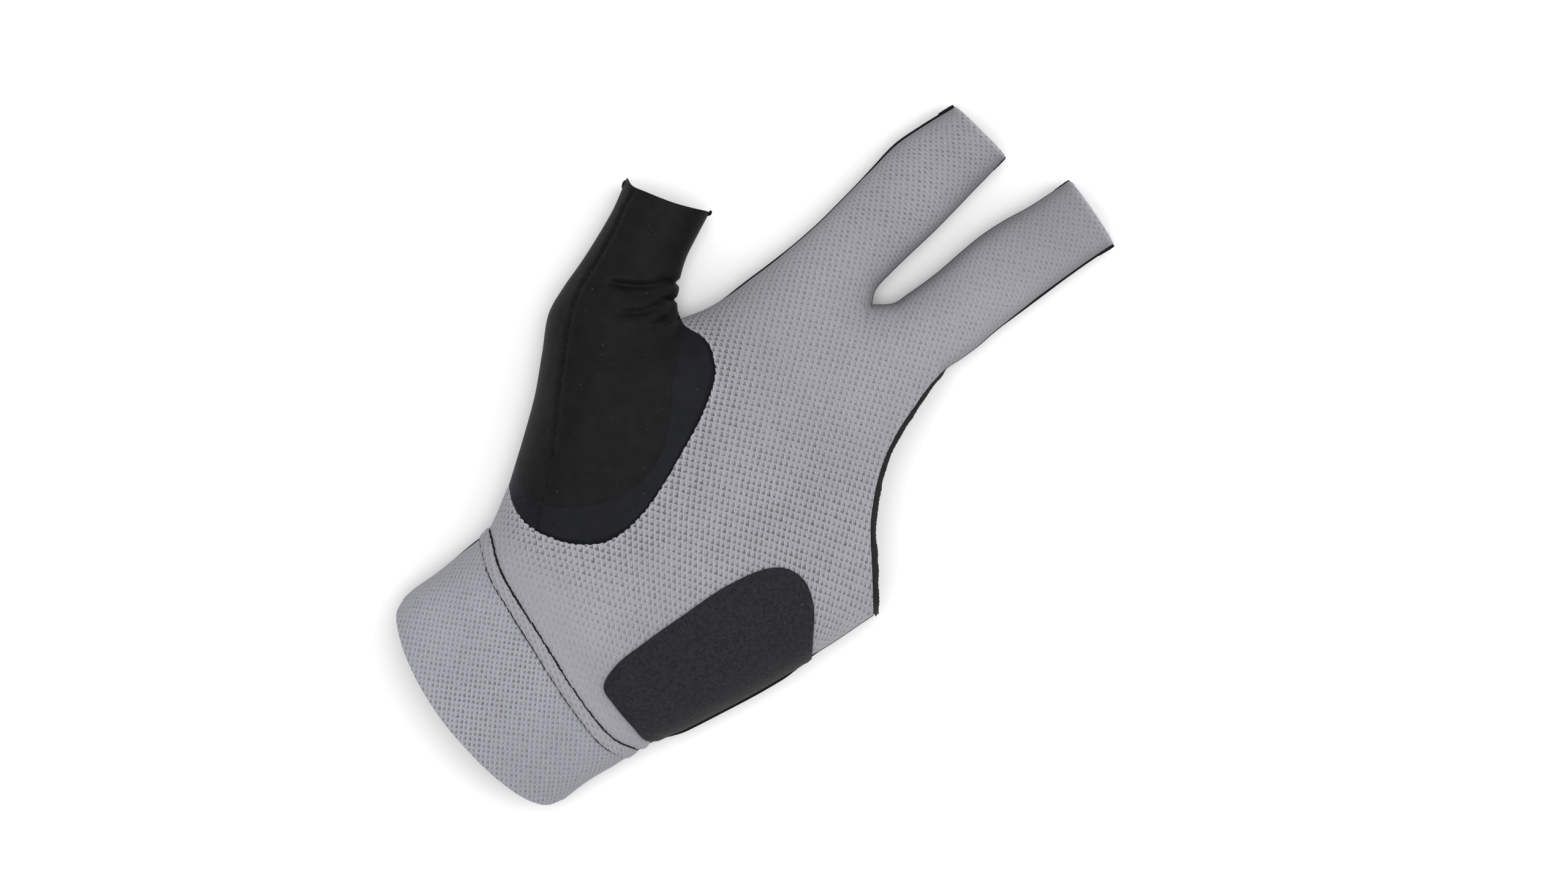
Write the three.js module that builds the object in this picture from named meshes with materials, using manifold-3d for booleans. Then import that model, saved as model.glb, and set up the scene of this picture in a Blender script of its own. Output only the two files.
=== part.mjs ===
// A three-finger billiard glove for the left hand, lying palm up on a table as if a hand still filled it.
// Thumb, index and middle finger have open tubes. The ring and little finger leave through a bound
// opening at the side.
//
// Millimetres. +Y runs from the wrist to the fingertips, +X towards the little-finger side, and +Z up out
// of the palm. The origin is on the table, under the middle of the glove.
import * as THREE from "three";
import { mergeVertices } from "three/addons/utils/BufferGeometryUtils.js";
import Module from "manifold-3d";

const wasm = await Module();
wasm.setup();

// Walls and gaps
const CLOTH = 1.0; // wall of every knitted piece
const GAP = 0.3; // kept between two pieces that are sewn together
const SEAM_LIP = 0.45; // the back's seam allowance shows this far past the palm's edge on the thumb side
const WEB_LIP = 0.15; // and this far between the fingers
const UNDER_ROLL = 8; // how far in from its edge the back rolls down to the table
const PAD = 1.0; // the suede heel pad
const SEAM_BAND = { thick: 1.0, width: 3.2 }; // the seam allowance stitched down round the wrist
const BINDING = {
  width: 1.5,
  height: 1.8,
  sides: 6,
  rows: 20,
  endGap: 0.02, // the share of the opening's edge left bare at each end, clear of the seams there
};

// How finely the cloth and its seams are cut into facets
const CUTS_PER_SECTION = 2;
const SEAM_STEPS = { thumbOuter: 44, thumbInner: 28, root: 32, wrist: 40, hem: 48, pad: 64 };
const HALF_COLUMNS = { palm: 7, back: 5 };
const THUMB = {
  rows: 16,
  over: 15, // facets across the palm side of a row
  under: 9, // and across the back
  crowding: 1.5, // draws the rows together towards the root
  edgeAt: 0.075, // how far along the thumb's sides the sleeve's edge lies
  straightAfter: 0.6, // and how much further on the rows run straight across
  tuck: 1.5, // reaches past the root seam, where it is cut off again
};

// Sections of the hand, from below the hem up to the web between the fingers. Each row gives the
// section's end on the thumb side, its middle, and its end on the little-finger side.
const HAND = [
  { name: "below the hem", thumbX: -25.0, thumbY: -114, midX: 9.0, midY: -117, littleX: 41.5, littleY: -116 },
  { name: "hem", thumbX: -25.4, thumbY: -100, midX: 8.0, midY: -104, littleX: 42.2, littleY: -103 },
  { name: "cuff", thumbX: -25.6, thumbY: -92, midX: 8.5, midY: -95, littleX: 43.2, littleY: -93.5 },
  { name: "cuff", thumbX: -24.4, thumbY: -84, midX: 9.5, midY: -86, littleX: 45.2, littleY: -85 },
  { name: "seam", thumbX: -23.6, thumbY: -75.5, midX: 11.0, midY: -78.5, littleX: 46.0, littleY: -79.5 },
  { name: "wrist", thumbX: -22.9, thumbY: -67, midX: 12.0, midY: -71, littleX: 47.4, littleY: -72.5 },
  { name: "heel", thumbX: -24.6, thumbY: -61.6, midX: 13.0, midY: -63, littleX: 50.2, littleY: -64.5 },
  { name: "thumb root", thumbX: -28.0, thumbY: -53.6, midX: 14.0, midY: -54, littleX: 53.1, littleY: -55 },
  { name: "heel", thumbX: -31.0, thumbY: -45, midX: 14.5, midY: -45, littleX: 56.0, littleY: -45 },
  { name: "palm", thumbX: -32.5, thumbY: -35, midX: 15.0, midY: -34, littleX: 58.7, littleY: -34 },
  { name: "palm", thumbX: -33.0, thumbY: -24, midX: 15.0, midY: -23, littleX: 61.5, littleY: -23 },
  { name: "palm", thumbX: -33.0, thumbY: -12, midX: 14.5, midY: -12, littleX: 63.4, littleY: -12.5 },
  { name: "opening corner", thumbX: -32.0, thumbY: -2, midX: 13.5, midY: -3, littleX: 64.2, littleY: -8.2 },
  { name: "opening", thumbX: -30.0, thumbY: 4.5, midX: 12.5, midY: 5, littleX: 54.8, littleY: 0.2 },
  { name: "thumb crotch", thumbX: -27.6, thumbY: 10.5, midX: 11.5, midY: 12, littleX: 46.2, littleY: 8.0 },
  { name: "opening", thumbX: -25.3, thumbY: 16, midX: 10.4, midY: 19, littleX: 40.0, littleY: 16.0 },
  { name: "opening", thumbX: -23.8, thumbY: 22, midX: 9.2, midY: 26, littleX: 35.9, littleY: 23.5 },
  { name: "knuckles", thumbX: -22.8, thumbY: 30, midX: 8.0, midY: 33, littleX: 33.2, littleY: 31.5 },
  { name: "knuckles", thumbX: -21.8, thumbY: 38, midX: 6.8, midY: 40, littleX: 31.7, littleY: 38.8 },
  { name: "finger roots", thumbX: -21.1, thumbY: 45.5, midX: 5.6, midY: 45, littleX: 30.6, littleY: 45.5 },
  { name: "web", thumbX: -20.8, thumbY: 51, midX: 4.6, midY: 48.8, littleX: 30.6, littleY: 51.5 },
];
const CORNER_ROW = HAND.findIndex((row) => row.name === "opening corner");

// Sections of the two fingers, from the web to the open tips
const INDEX = [
  { leftX: -20.7, leftY: 55, rightX: 2.3, rightY: 52.6 },
  { leftX: -20.8, leftY: 60, rightX: 1.9, rightY: 58.5 },
  { leftX: -21.0, leftY: 67, rightX: 1.9, rightY: 66 },
  { leftX: -21.4, leftY: 75, rightX: 2.0, rightY: 74 },
  { leftX: -21.8, leftY: 82, rightX: 1.8, rightY: 82 },
  { leftX: -21.2, leftY: 88.3, rightX: 1.5, rightY: 89.5 },
  { leftX: -20.0, leftY: 94.5, rightX: 1.3, rightY: 96 },
  { leftX: -18.4, leftY: 101.3, rightX: 1.0, rightY: 101.7 },
];
const MIDDLE = [
  { leftX: 8.4, leftY: 53.2, rightX: 31.4, rightY: 56 },
  { leftX: 9.4, leftY: 58, rightX: 32.1, rightY: 61.5 },
  { leftX: 10.6, leftY: 66.5, rightX: 32.4, rightY: 68 },
  { leftX: 11.1, leftY: 75, rightX: 33.3, rightY: 75.5 },
  { leftX: 11.7, leftY: 82.5, rightX: 34.3, rightY: 83 },
  { leftX: 13.0, leftY: 89.5, rightX: 35.4, rightY: 91 },
  { leftX: 15.3, leftY: 98, rightX: 36.6, rightY: 98.8 },
  { leftX: 17.4, leftY: 109.6, rightX: 38.0, rightY: 106.2 },
];

// The thumb, seen from above: its outer and inner sides from the root to the mouth, the seams round its
// root on the palm and on the back, the edges where the black sleeve meets the gusset, and the mouth.
const THUMB_OUTER = [
  { x: -28.0, y: -53.6 }, { x: -31.2, y: -47.8 }, { x: -34.5, y: -41.9 }, { x: -40.3, y: -32.2 },
  { x: -46.9, y: -23.2 }, { x: -53.4, y: -14.4 }, { x: -55.6, y: -7.0 }, { x: -57.1, y: 0.7 },
  { x: -58.9, y: 8.3 }, { x: -61.4, y: 17.0 }, { x: -64.9, y: 25.4 },
];
const THUMB_INNER = [
  { x: -28.2, y: 9.5 }, { x: -30.4, y: 10.9 }, { x: -33.0, y: 13.4 }, { x: -35.7, y: 16.9 },
  { x: -38.6, y: 22.0 }, { x: -40.6, y: 27.5 }, { x: -42.4, y: 34.2 },
];
const ROOT_SEAM = [
  { x: -28.0, y: -53.6 }, { x: -24.0, y: -56.2 }, { x: -18.8, y: -57.3 }, { x: -13.2, y: -56.4 },
  { x: -5.1, y: -52.3 }, { x: 0.2, y: -46.0 }, { x: 2.0, y: -39.5 }, { x: 1.4, y: -30.6 },
  { x: -2.2, y: -16.4 }, { x: -6.2, y: -2.6 }, { x: -11.2, y: 5.9 }, { x: -17.2, y: 9.6 },
  { x: -23.3, y: 9.9 }, { x: -28.2, y: 9.5 },
];
const SLEEVE_EDGE = [
  { x: -31.2, y: -47.8 }, { x: -26.5, y: -50.3 }, { x: -21.5, y: -51.0 }, { x: -15.5, y: -49.0 },
  { x: -9.5, y: -43.0 }, { x: -4.9, y: -34.1 }, { x: -4.2, y: -23.0 }, { x: -9.5, y: -11.6 },
  { x: -17.3, y: -3.0 }, { x: -21.5, y: 3.6 }, { x: -26.0, y: 7.6 }, { x: -30.4, y: 10.9 },
];
const ROOT_SEAM_BACK = [
  { x: -28.0, y: -53.6 }, { x: -21.5, y: -51.5 }, { x: -14.0, y: -44.0 }, { x: -11.0, y: -30.0 },
  { x: -12.5, y: -14.0 }, { x: -17.5, y: 0.0 }, { x: -23.0, y: 6.6 }, { x: -28.2, y: 9.5 },
];
const SLEEVE_EDGE_BACK = [
  { x: -31.2, y: -47.8 }, { x: -24.5, y: -45.6 }, { x: -19.0, y: -39.0 }, { x: -16.5, y: -29.0 },
  { x: -18.5, y: -14.0 }, { x: -22.5, y: -1.5 }, { x: -26.6, y: 5.8 }, { x: -30.4, y: 10.9 },
];
const THUMB_MOUTH = [
  { x: -64.9, y: 25.4 }, { x: -62.4, y: 24.9 }, { x: -58.0, y: 26.5 }, { x: -51.2, y: 29.6 },
  { x: -45.2, y: 33.3 }, { x: -42.4, y: 34.2 },
];
const THUMB_MOUTH_BACK = [
  { x: -64.9, y: 25.4 }, { x: -59.6, y: 25.2 }, { x: -52.0, y: 28.0 }, { x: -45.4, y: 32.0 },
  { x: -42.4, y: 34.2 },
];
// The way round the thumb from its crotch to its root, clear of everything else
const ROUND_THUMB = { crotchX: -28.9, crotchY: 12, tip: 60, rootX: -40, rootY: -57 };
const THUMB_AXIS = { mouthX: -53.4, mouthY: 29.8, rootX: -18.0, rootY: -40.0 };

// How thick the filled glove is. seam is the height of the side seams over the table, top the height of
// the cloth over the middle, and roll how far in from the seams the cloth reaches it. lip is how far the
// back's seam allowance shows past the palm's edge on the little-finger side. It is widest along the heel
// pad, which lies over that edge.
const LEVELS = [
  { y: -118, seam: 9.0, top: 21.0, roll: 15.0, lip: 0.5 },
  { y: -92, seam: 9.0, top: 22.0, roll: 15.0, lip: 0.4 },
  { y: -76, seam: 9.0, top: 23.0, roll: 15.5, lip: 0.5 },
  { y: -65, seam: 9.4, top: 24.6, roll: 16.4, lip: 2.0 },
  { y: -38, seam: 9.8, top: 25.5, roll: 17.0, lip: 2.0 },
  { y: -24, seam: 9.8, top: 25.5, roll: 17.0, lip: 0.5 },
  { y: 10, seam: 9.2, top: 23.5, roll: 16.0, lip: 0.4 },
  { y: 35, seam: 8.4, top: 20.5, roll: 13.5, lip: 0.4 },
  { y: 52, seam: 8.0, top: 18.4, roll: 11.6, lip: 0.5 },
  { y: 75, seam: 7.6, top: 17.2, roll: 11.4, lip: 0.5 },
  { y: 95, seam: 7.6, top: 16.8, roll: 11.0, lip: 0.5 },
  { y: 114, seam: 7.6, top: 16.6, roll: 10.4, lip: 0.5 },
];
// The same for the thumb, by the distance from its mouth along its axis
const THUMB_LEVELS = [
  { from: 0, seam: 8.4, top: 18.6, roll: 11.2 },
  { from: 18, seam: 8.6, top: 19.6, roll: 12.0 },
  { from: 36, seam: 9.4, top: 23.5, roll: 15.0 },
  { from: 56, seam: 9.8, top: 26.5, roll: 17.5 },
];
// The thumb's levels give way to the hand's between these distances from its mouth, and across these
// lines of x and y
const THUMB_BLEND = { full: 34, none: 58, fromX: -14, fullX: -30, fullY: 32, noneY: 44 };

// Broad swellings and hollows of the filled palm
const SWELLINGS = [
  { name: "ball of the thumb", x: -20, y: -26, radius: 20, rise: 3.6 },
  { name: "heel under the pad", x: 38, y: -44, radius: 18, rise: 1.4 },
  { name: "hollow of the palm", x: 19, y: -8, radius: 24, rise: -2.4 },
  { name: "pad below the index", x: -5, y: 34, radius: 12, rise: 0.9 },
  { name: "pad below the middle", x: 20, y: 36, radius: 12, rise: 0.9 },
];
// Creases in the thumb sleeve, fanning out from the crotch
const CREASES = [
  { fromX: -47.5, fromY: 3.0, toX: -34.5, toY: 15.2, depth: 1.4, width: 1.9 },
  { fromX: -40.0, fromY: -0.6, toX: -32.0, toY: 10.6, depth: 1.2, width: 1.8 },
];

// The wrist seam, the hem and the heel pad, seen from above
const WRIST_SEAM = [
  { x: -34.0, y: -62.0 }, { x: -22.8, y: -67.4 }, { x: -13.2, y: -72.2 }, { x: -4.0, y: -74.5 },
  { x: 8.0, y: -77.0 }, { x: 20.0, y: -79.6 }, { x: 30.0, y: -81.2 }, { x: 38.0, y: -81.8 },
  { x: 44.0, y: -80.6 }, { x: 56.0, y: -75.0 },
];
const HEM = [
  { x: -30.0, y: -90.0 }, { x: -25.7, y: -94.6 }, { x: -24.2, y: -98.4 }, { x: -18.0, y: -102.5 },
  { x: -7.7, y: -106.5 }, { x: 3.0, y: -108.9 }, { x: 14.5, y: -109.8 }, { x: 25.5, y: -109.5 },
  { x: 36.0, y: -107.5 }, { x: 40.4, y: -105.0 }, { x: 42.4, y: -101.0 }, { x: 48.0, y: -95.0 },
];
const HEEL_PAD = [
  { x: 26.3, y: -66.5 }, { x: 28.2, y: -72.2 }, { x: 34.0, y: -73.6 }, { x: 41.0, y: -74.4 },
  { x: 46.0, y: -75.2 }, { x: 54.0, y: -72.0 }, { x: 60.0, y: -55.0 }, { x: 64.0, y: -36.0 },
  { x: 61.6, y: -29.6 }, { x: 56.3, y: -23.1 }, { x: 50.6, y: -17.4 }, { x: 44.7, y: -14.8 },
  { x: 39.4, y: -15.8 }, { x: 35.6, y: -19.6 }, { x: 31.4, y: -30.6 }, { x: 29.1, y: -43.5 },
  { x: 27.1, y: -56.5 },
];

// Small helpers
const clamp01 = (v) => Math.min(1, Math.max(0, v));
const smooth = (v) => clamp01(v) ** 2 * (3 - 2 * clamp01(v));
const arc = (q) => Math.sqrt(1 - (1 - clamp01(q)) ** 2); // a quarter circle's rise from its edge
const spline = (points, closed = false) =>
  new THREE.CatmullRomCurve3(points.map(({ x, y }) => new THREE.Vector3(x, y, 0)), closed, "centripetal");
const column = (rows, side) => rows.map((row) => ({ x: row[side + "X"], y: row[side + "Y"] }));

// A value that a table gives at a place between two of its rows
function between(table, key, place, value) {
  let i = 0;
  while (i < table.length - 2 && place > table[i + 1][key]) i++;
  const [a, b] = [table[i], table[i + 1]];
  const share = smooth((place - a[key]) / (b[key] - a[key]));
  return THREE.MathUtils.lerp(a[value], b[value], share);
}

// The long edges of the hand and fingers, each with one point per row of facets
function rail(points) {
  const rows = (points.length - 1) * CUTS_PER_SECTION;
  const curve = new THREE.SplineCurve(points.map(({ x, y }) => new THREE.Vector2(x, y)));
  return Array.from({ length: rows + 1 }, (_, i) => curve.getPoint(i / rows));
}
const HAND_ROWS = (HAND.length - 1) * CUTS_PER_SECTION;
const FINGERS_START = HAND_ROWS - 4; // the columns crowd towards the fingers' four sides from this row on
const FINGERS_SPREAD = 6;
const webPoint = { x: HAND.at(-1).midX, y: HAND.at(-1).midY };
const thumbSide = rail([...column(HAND, "thumb"), ...column(INDEX, "left")]);
const handMiddle = rail(column(HAND, "mid"));
const indexInner = rail([webPoint, ...column(INDEX, "right")]);
const middleInner = rail([webPoint, ...column(MIDDLE, "left")]);
const belowOpening = rail(column(HAND.slice(0, CORNER_ROW + 1), "little"));
const aboveCorner = rail([...column(HAND.slice(CORNER_ROW), "little"), ...column(MIDDLE, "right")]);
const littleSide = [...belowOpening, ...aboveCorner.slice(1)];

// Everything that is sewn shut, seen from above. The mouths, the hem and the side opening are left out.
const rowOf = (name) => HAND.findIndex((row) => row.name === name) * CUTS_PER_SECTION;
const SEWN = [
  [...thumbSide.slice(0, rowOf("thumb root") + 1), ...spline(THUMB_OUTER).getPoints(SEAM_STEPS.thumbOuter)],
  [
    ...spline(THUMB_INNER).getPoints(SEAM_STEPS.thumbInner).reverse(),
    ...thumbSide.slice(rowOf("thumb crotch")),
  ],
  [...indexInner.slice().reverse(), ...middleInner],
  littleSide.slice(HAND_ROWS),
  belowOpening,
];

function distanceToSegment(x, y, a, b) {
  const [dx, dy] = [b.x - a.x, b.y - a.y];
  const share = clamp01(((x - a.x) * dx + (y - a.y) * dy) / (dx * dx + dy * dy || 1));
  return Math.hypot(x - a.x - share * dx, y - a.y - share * dy);
}
function distanceToSeam(x, y) {
  let nearest = Infinity;
  for (const line of SEWN)
    for (let i = 1; i < line.length; i++)
      nearest = Math.min(nearest, distanceToSegment(x, y, line[i - 1], line[i]));
  return nearest;
}

// The hand's or the thumb's level at a place, blended round the root of the thumb
function level(x, y, value) {
  const { mouthX, mouthY, rootX, rootY } = THUMB_AXIS;
  const axis = new THREE.Vector2(rootX - mouthX, rootY - mouthY).normalize();
  const from = (x - mouthX) * axis.x + (y - mouthY) * axis.y;
  const { full, none, fromX, fullX, fullY, noneY } = THUMB_BLEND;
  const outwards = smooth((x - fromX) / (fullX - fromX)) * smooth((noneY - y) / (noneY - fullY));
  const share = outwards * smooth((none - from) / (none - full));
  const hand = between(LEVELS, "y", y, value);
  return THREE.MathUtils.lerp(hand, between(THUMB_LEVELS, "from", from, value), share);
}
function relief(x, y) {
  let rise = 0;
  for (const s of SWELLINGS) rise += s.rise * Math.exp(-((Math.hypot(x - s.x, y - s.y) / s.radius) ** 2));
  for (const c of CREASES) {
    const away = distanceToSegment(x, y, { x: c.fromX, y: c.fromY }, { x: c.toX, y: c.toY });
    rise -= c.depth * Math.exp(-((away / c.width) ** 2));
  }
  return rise;
}
function topHeight(x, y) {
  const edge = distanceToSeam(x, y);
  const seam = level(x, y, "seam");
  const full = arc(edge / level(x, y, "roll"));
  return seam + full * (level(x, y, "top") - seam + relief(x, y));
}
function underHeight(x, y) {
  return level(x, y, "seam") * (1 - arc(distanceToSeam(x, y) / UNDER_ROLL));
}

// A sheet is { points, faces, level }: level holds the points on a sewn edge, where a wall is cut off
// level. wallOf closes it into a solid between two distances from the sheet, measured along its normals.
function wallOf(sheet, inner, outer) {
  const normals = sheet.points.map(() => new THREE.Vector3());
  const used = new Map();
  for (const face of sheet.faces) {
    const [a, b, c] = face.map((i) => sheet.points[i]);
    const normal = b.clone().sub(a).cross(c.clone().sub(a));
    face.forEach((i) => normals[i].add(normal));
    face.forEach((i, k) => used.set(i + ">" + face[(k + 1) % 3], [i, face[(k + 1) % 3]]));
  }
  normals.forEach((n, i) => {
    if (sheet.level.has(i)) n.z = 0;
    n.normalize();
  });
  const count = sheet.points.length;
  const positions = [outer, inner].flatMap((distance) =>
    sheet.points.flatMap((p, i) => p.clone().addScaledVector(normals[i], distance).toArray()));
  const index = [];
  for (const [a, b, c] of sheet.faces) index.push(a, b, c, a + count, c + count, b + count);
  for (const [key, [a, b]] of used)
    if (!used.has(b + ">" + a)) index.push(b, a, a + count, b, a + count, b + count);
  const geometry = new THREE.BufferGeometry();
  geometry.setAttribute("position", new THREE.Float32BufferAttribute(positions, 3));
  geometry.setIndex(index);
  return geometry;
}

// Rows of points become triangles between neighbouring rows
function faceRows(faces, lower, upper, closed) {
  const n = lower.length;
  for (let j = 0; j < (closed ? n : n - 1); j++) {
    const k = (j + 1) % n;
    faces.push([lower[j], lower[k], upper[k]], [lower[j], upper[k], upper[j]]);
  }
}

// The hand and both fingers as one sheet. It has two halves, which share the middle line up to the web.
// Columns stand closer together towards the sewn edges, where the cloth turns down.
function handSheet({ heightAt, columns, edgeGap, lip }) {
  const sheet = { points: [], faces: [], level: new Set() };
  const add = (x, y, z) => sheet.points.push(new THREE.Vector3(x, y, z)) - 1;
  const spacing = {
    towardsLeft: (u) => 1 - Math.cos((u * Math.PI) / 2),
    towardsRight: (u) => Math.sin((u * Math.PI) / 2),
    towardsBoth: (u) => (1 - Math.cos(u * Math.PI)) / 2,
  };
  const isSewn = (row) => row <= CORNER_ROW * CUTS_PER_SECTION || row >= HAND_ROWS;
  const point = (a, b, share, onEdge, outwards, side) => {
    const x = THREE.MathUtils.lerp(a.x, b.x, share);
    const y = THREE.MathUtils.lerp(a.y, b.y, share);
    if (!onEdge) return add(x, y, heightAt(x, y));
    const past = new THREE.Vector2(a.x - b.x, a.y - b.y).setLength(outwards * lip(side, y));
    const index = add(x + past.x, y + past.y, level(x, y, "seam") + edgeGap);
    sheet.level.add(index);
    return index;
  };
  const halfRow = (left, right, row, sides, share, shared) => {
    const fingerShare = smooth((row - FINGERS_START) / FINGERS_SPREAD);
    return Array.from({ length: columns + 1 }, (_, j) => {
      const u = j / columns;
      if (shared !== undefined && j === 0) return shared;
      const w = THREE.MathUtils.lerp(spacing[share](u), spacing.towardsBoth(u), fingerShare);
      const side = j === 0 ? sides[0] : sides[1];
      return point(left, right, w, Boolean(side) && (j === 0 || j === columns), j === 0 ? 1 : -1, side);
    });
  };
  let previous = null;
  for (let row = 0; row <= HAND_ROWS; row++) {
    const web = row === HAND_ROWS ? "web" : null;
    const [from, middle, to] = [thumbSide[row], handMiddle[row], littleSide[row]];
    const left = halfRow(from, middle, row, ["thumb", web], "towardsLeft");
    const right = halfRow(middle, to, row, [web, isSewn(row) ? "little" : null], "towardsRight", left.at(-1));
    if (previous) {
      faceRows(sheet.faces, previous.left, left);
      faceRows(sheet.faces, previous.right, right);
    }
    previous = { left, right };
  }
  for (let row = 1; row < indexInner.length; row++) {
    const at = HAND_ROWS + row;
    const left = halfRow(thumbSide[at], indexInner[row], at, ["thumb", "web"], "towardsBoth");
    const right = halfRow(middleInner[row], littleSide[at], at, ["web", "little"], "towardsBoth");
    faceRows(sheet.faces, previous.left, left);
    faceRows(sheet.faces, previous.right, right);
    previous = { left, right };
  }
  return sheet;
}
function flipped(sheet) {
  return { ...sheet, faces: sheet.faces.map(([a, b, c]) => [a, c, b]) };
}

// The thumb's ring of cloth, from the seam round its root to its mouth. Each of its rows runs from the
// thumb's outer line to its inner one, once over the palm and once under the back. The rows' shapes blend
// from the root seam to the sleeve's edge, flatten out to straight lines, and end in the mouth's shape.
function thumbSheet() {
  const [outer, inner] = [spline(THUMB_OUTER), spline(THUMB_INNER)];
  const shapes = (tables) => tables.map((table) => spline(table));
  const over = shapes([ROOT_SEAM, SLEEVE_EDGE, THUMB_MOUTH]);
  const under = shapes([ROOT_SEAM_BACK, SLEEVE_EDGE_BACK, THUMB_MOUTH_BACK]);
  const offChord = (curve, t) => {
    const start = curve.getPointAt(0);
    const chord = curve.getPointAt(1).sub(start);
    const p = curve.getPointAt(t).sub(start);
    const across = chord.x * p.y - chord.y * p.x;
    return { along: p.dot(chord) / chord.lengthSq(), off: across / chord.lengthSq() };
  };
  const rowPoint = (curves, s, t) => {
    const past = (s - THUMB.edgeAt) / THUMB.straightAfter;
    const share = past < 0
      ? [1 - s / THUMB.edgeAt, s / THUMB.edgeAt, 0]
      : [0, (1 - clamp01(past)) ** 2, smooth(2 * s - 1)];
    const shape = { along: (1 - share[0] - share[1] - share[2]) * t, off: 0 };
    curves.forEach((curve, i) => {
      const own = offChord(curve, t);
      shape.along += share[i] * own.along;
      shape.off += share[i] * own.off;
    });
    const start = outer.getPointAt(s);
    const chord = inner.getPointAt(s).sub(start);
    const sideways = new THREE.Vector3(-chord.y, chord.x, 0);
    return start.addScaledVector(chord, shape.along).addScaledVector(sideways, shape.off);
  };
  const loopAt = (s) => {
    const top = Array.from({ length: THUMB.over + 1 }, (_, j) => {
      const p = rowPoint(over, s, (1 - Math.cos((j / THUMB.over) * Math.PI)) / 2);
      const onSide = j === 0 || j === THUMB.over;
      return p.setZ(onSide ? level(p.x, p.y, "seam") : topHeight(p.x, p.y));
    });
    const bottom = Array.from({ length: THUMB.under - 1 }, (_, j) => {
      const p = rowPoint(under, s, (1 + Math.cos(((j + 1) / THUMB.under) * Math.PI)) / 2);
      return p.setZ(underHeight(p.x, p.y));
    });
    return [...top, ...bottom];
  };
  const loops = Array.from({ length: THUMB.rows + 1 }, (_, i) => loopAt((i / THUMB.rows) ** THUMB.crowding));
  loops[0].forEach((p, j) => p.add(p.clone().sub(loops[1][j]).setLength(THUMB.tuck)));
  const sheet = { points: loops.flat(), faces: [], level: new Set() };
  const indices = (row) => loops[row].map((_, j) => row * loops[0].length + j);
  for (let i = 0; i < THUMB.rows; i++) faceRows(sheet.faces, indices(i), indices(i + 1), true);
  return sheet;
}

// Cutters, as upright prisms over an outline
function prism(points, low, high) {
  const shape = new THREE.Shape(points.map(({ x, y }) => new THREE.Vector2(x, y)));
  return new THREE.ExtrudeGeometry(shape, { depth: high - low, bevelEnabled: false, curveSegments: 4 })
    .translate(0, 0, low);
}
// A line across the glove moved sideways, to its left for a positive distance
function shifted(line, distance) {
  return line.map((p, i) => {
    const [a, b] = [line[Math.max(0, i - 1)], line[Math.min(line.length - 1, i + 1)]];
    const away = new THREE.Vector2(a.y - b.y, b.x - a.x).normalize().multiplyScalar(distance);
    return { x: p.x + away.x, y: p.y + away.y };
  });
}

// Geometry to a solid for joining and cutting, and back
function solid(geometry) {
  const g = geometry.clone();
  g.deleteAttribute("normal");
  g.deleteAttribute("uv");
  const merged = mergeVertices(g, 1e-4);
  return new wasm.Manifold(new wasm.Mesh({
    numProp: 3,
    vertProperties: merged.attributes.position.array,
    triVerts: new Uint32Array(merged.index.array),
  }));
}
function geometryOf(manifold) {
  // A cut can leave chips of cloth, so the largest body is kept
  const [main] = manifold.decompose().sort((a, b) => b.volume() - a.volume());
  const mesh = main.getMesh();
  const geometry = new THREE.BufferGeometry();
  geometry.setAttribute("position", new THREE.Float32BufferAttribute(mesh.vertProperties, 3));
  geometry.setIndex(new THREE.Uint32BufferAttribute(mesh.triVerts, 1));
  geometry.computeVertexNormals();
  return geometry;
}

// A bar of binding along the free edge of the opening, on the palm's cloth or on the back's
function bindingAlong(centreHeight) {
  const edge = littleSide.slice(CORNER_ROW * CUTS_PER_SECTION, HAND_ROWS + 1);
  const curve = spline(edge);
  const corner = 1 / Math.cos(Math.PI / BINDING.sides); // a corner's reach, where a flat side's is 1
  const rings = [];
  for (let i = 0; i <= BINDING.rows; i++) {
    const at = THREE.MathUtils.lerp(BINDING.endGap, 1 - BINDING.endGap, i / BINDING.rows);
    const p = curve.getPointAt(at);
    const tangent = curve.getTangentAt(at);
    const outwards = new THREE.Vector3(tangent.y, -tangent.x, 0).normalize();
    const centre = p.clone().addScaledVector(outwards, GAP + (corner * BINDING.width) / 2);
    centre.z = centreHeight(p.x, p.y);
    rings.push(Array.from({ length: BINDING.sides }, (_, k) => {
      const angle = (k / BINDING.sides) * 2 * Math.PI;
      const ring = centre.clone().addScaledVector(outwards, (Math.cos(angle) * corner * BINDING.width) / 2);
      return ring.setZ(ring.z + (Math.sin(angle) * corner * BINDING.height) / 2);
    }));
  }
  const points = rings.flat();
  const faces = [];
  const n = BINDING.sides;
  const indices = (i) => Array.from({ length: n }, (_, j) => i * n + j);
  for (let i = 0; i < BINDING.rows; i++) faceRows(faces, indices(i + 1), indices(i), true);
  const last = BINDING.rows * n;
  for (let k = 1; k < n - 1; k++) faces.push([0, k, k + 1], [last, last + k + 1, last + k]);
  const geometry = new THREE.BufferGeometry();
  geometry.setAttribute("position", new THREE.Float32BufferAttribute(points.flatMap((p) => p.toArray()), 3));
  geometry.setIndex(faces.flat());
  return geometry;
}

// Materials
const cloth = (color, roughness) => new THREE.MeshStandardMaterial({ color, roughness, metalness: 0 });
const greyMesh = cloth(0x9b9ca3, 0.85);
const blackLycra = cloth(0x1f1f20, 0.7);
const navyLycra = cloth(0x24262c, 0.7);
const blackSuede = cloth(0x2c2c30, 0.95);
const blackBinding = cloth(0x2e2e2f, 0.9);

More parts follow.
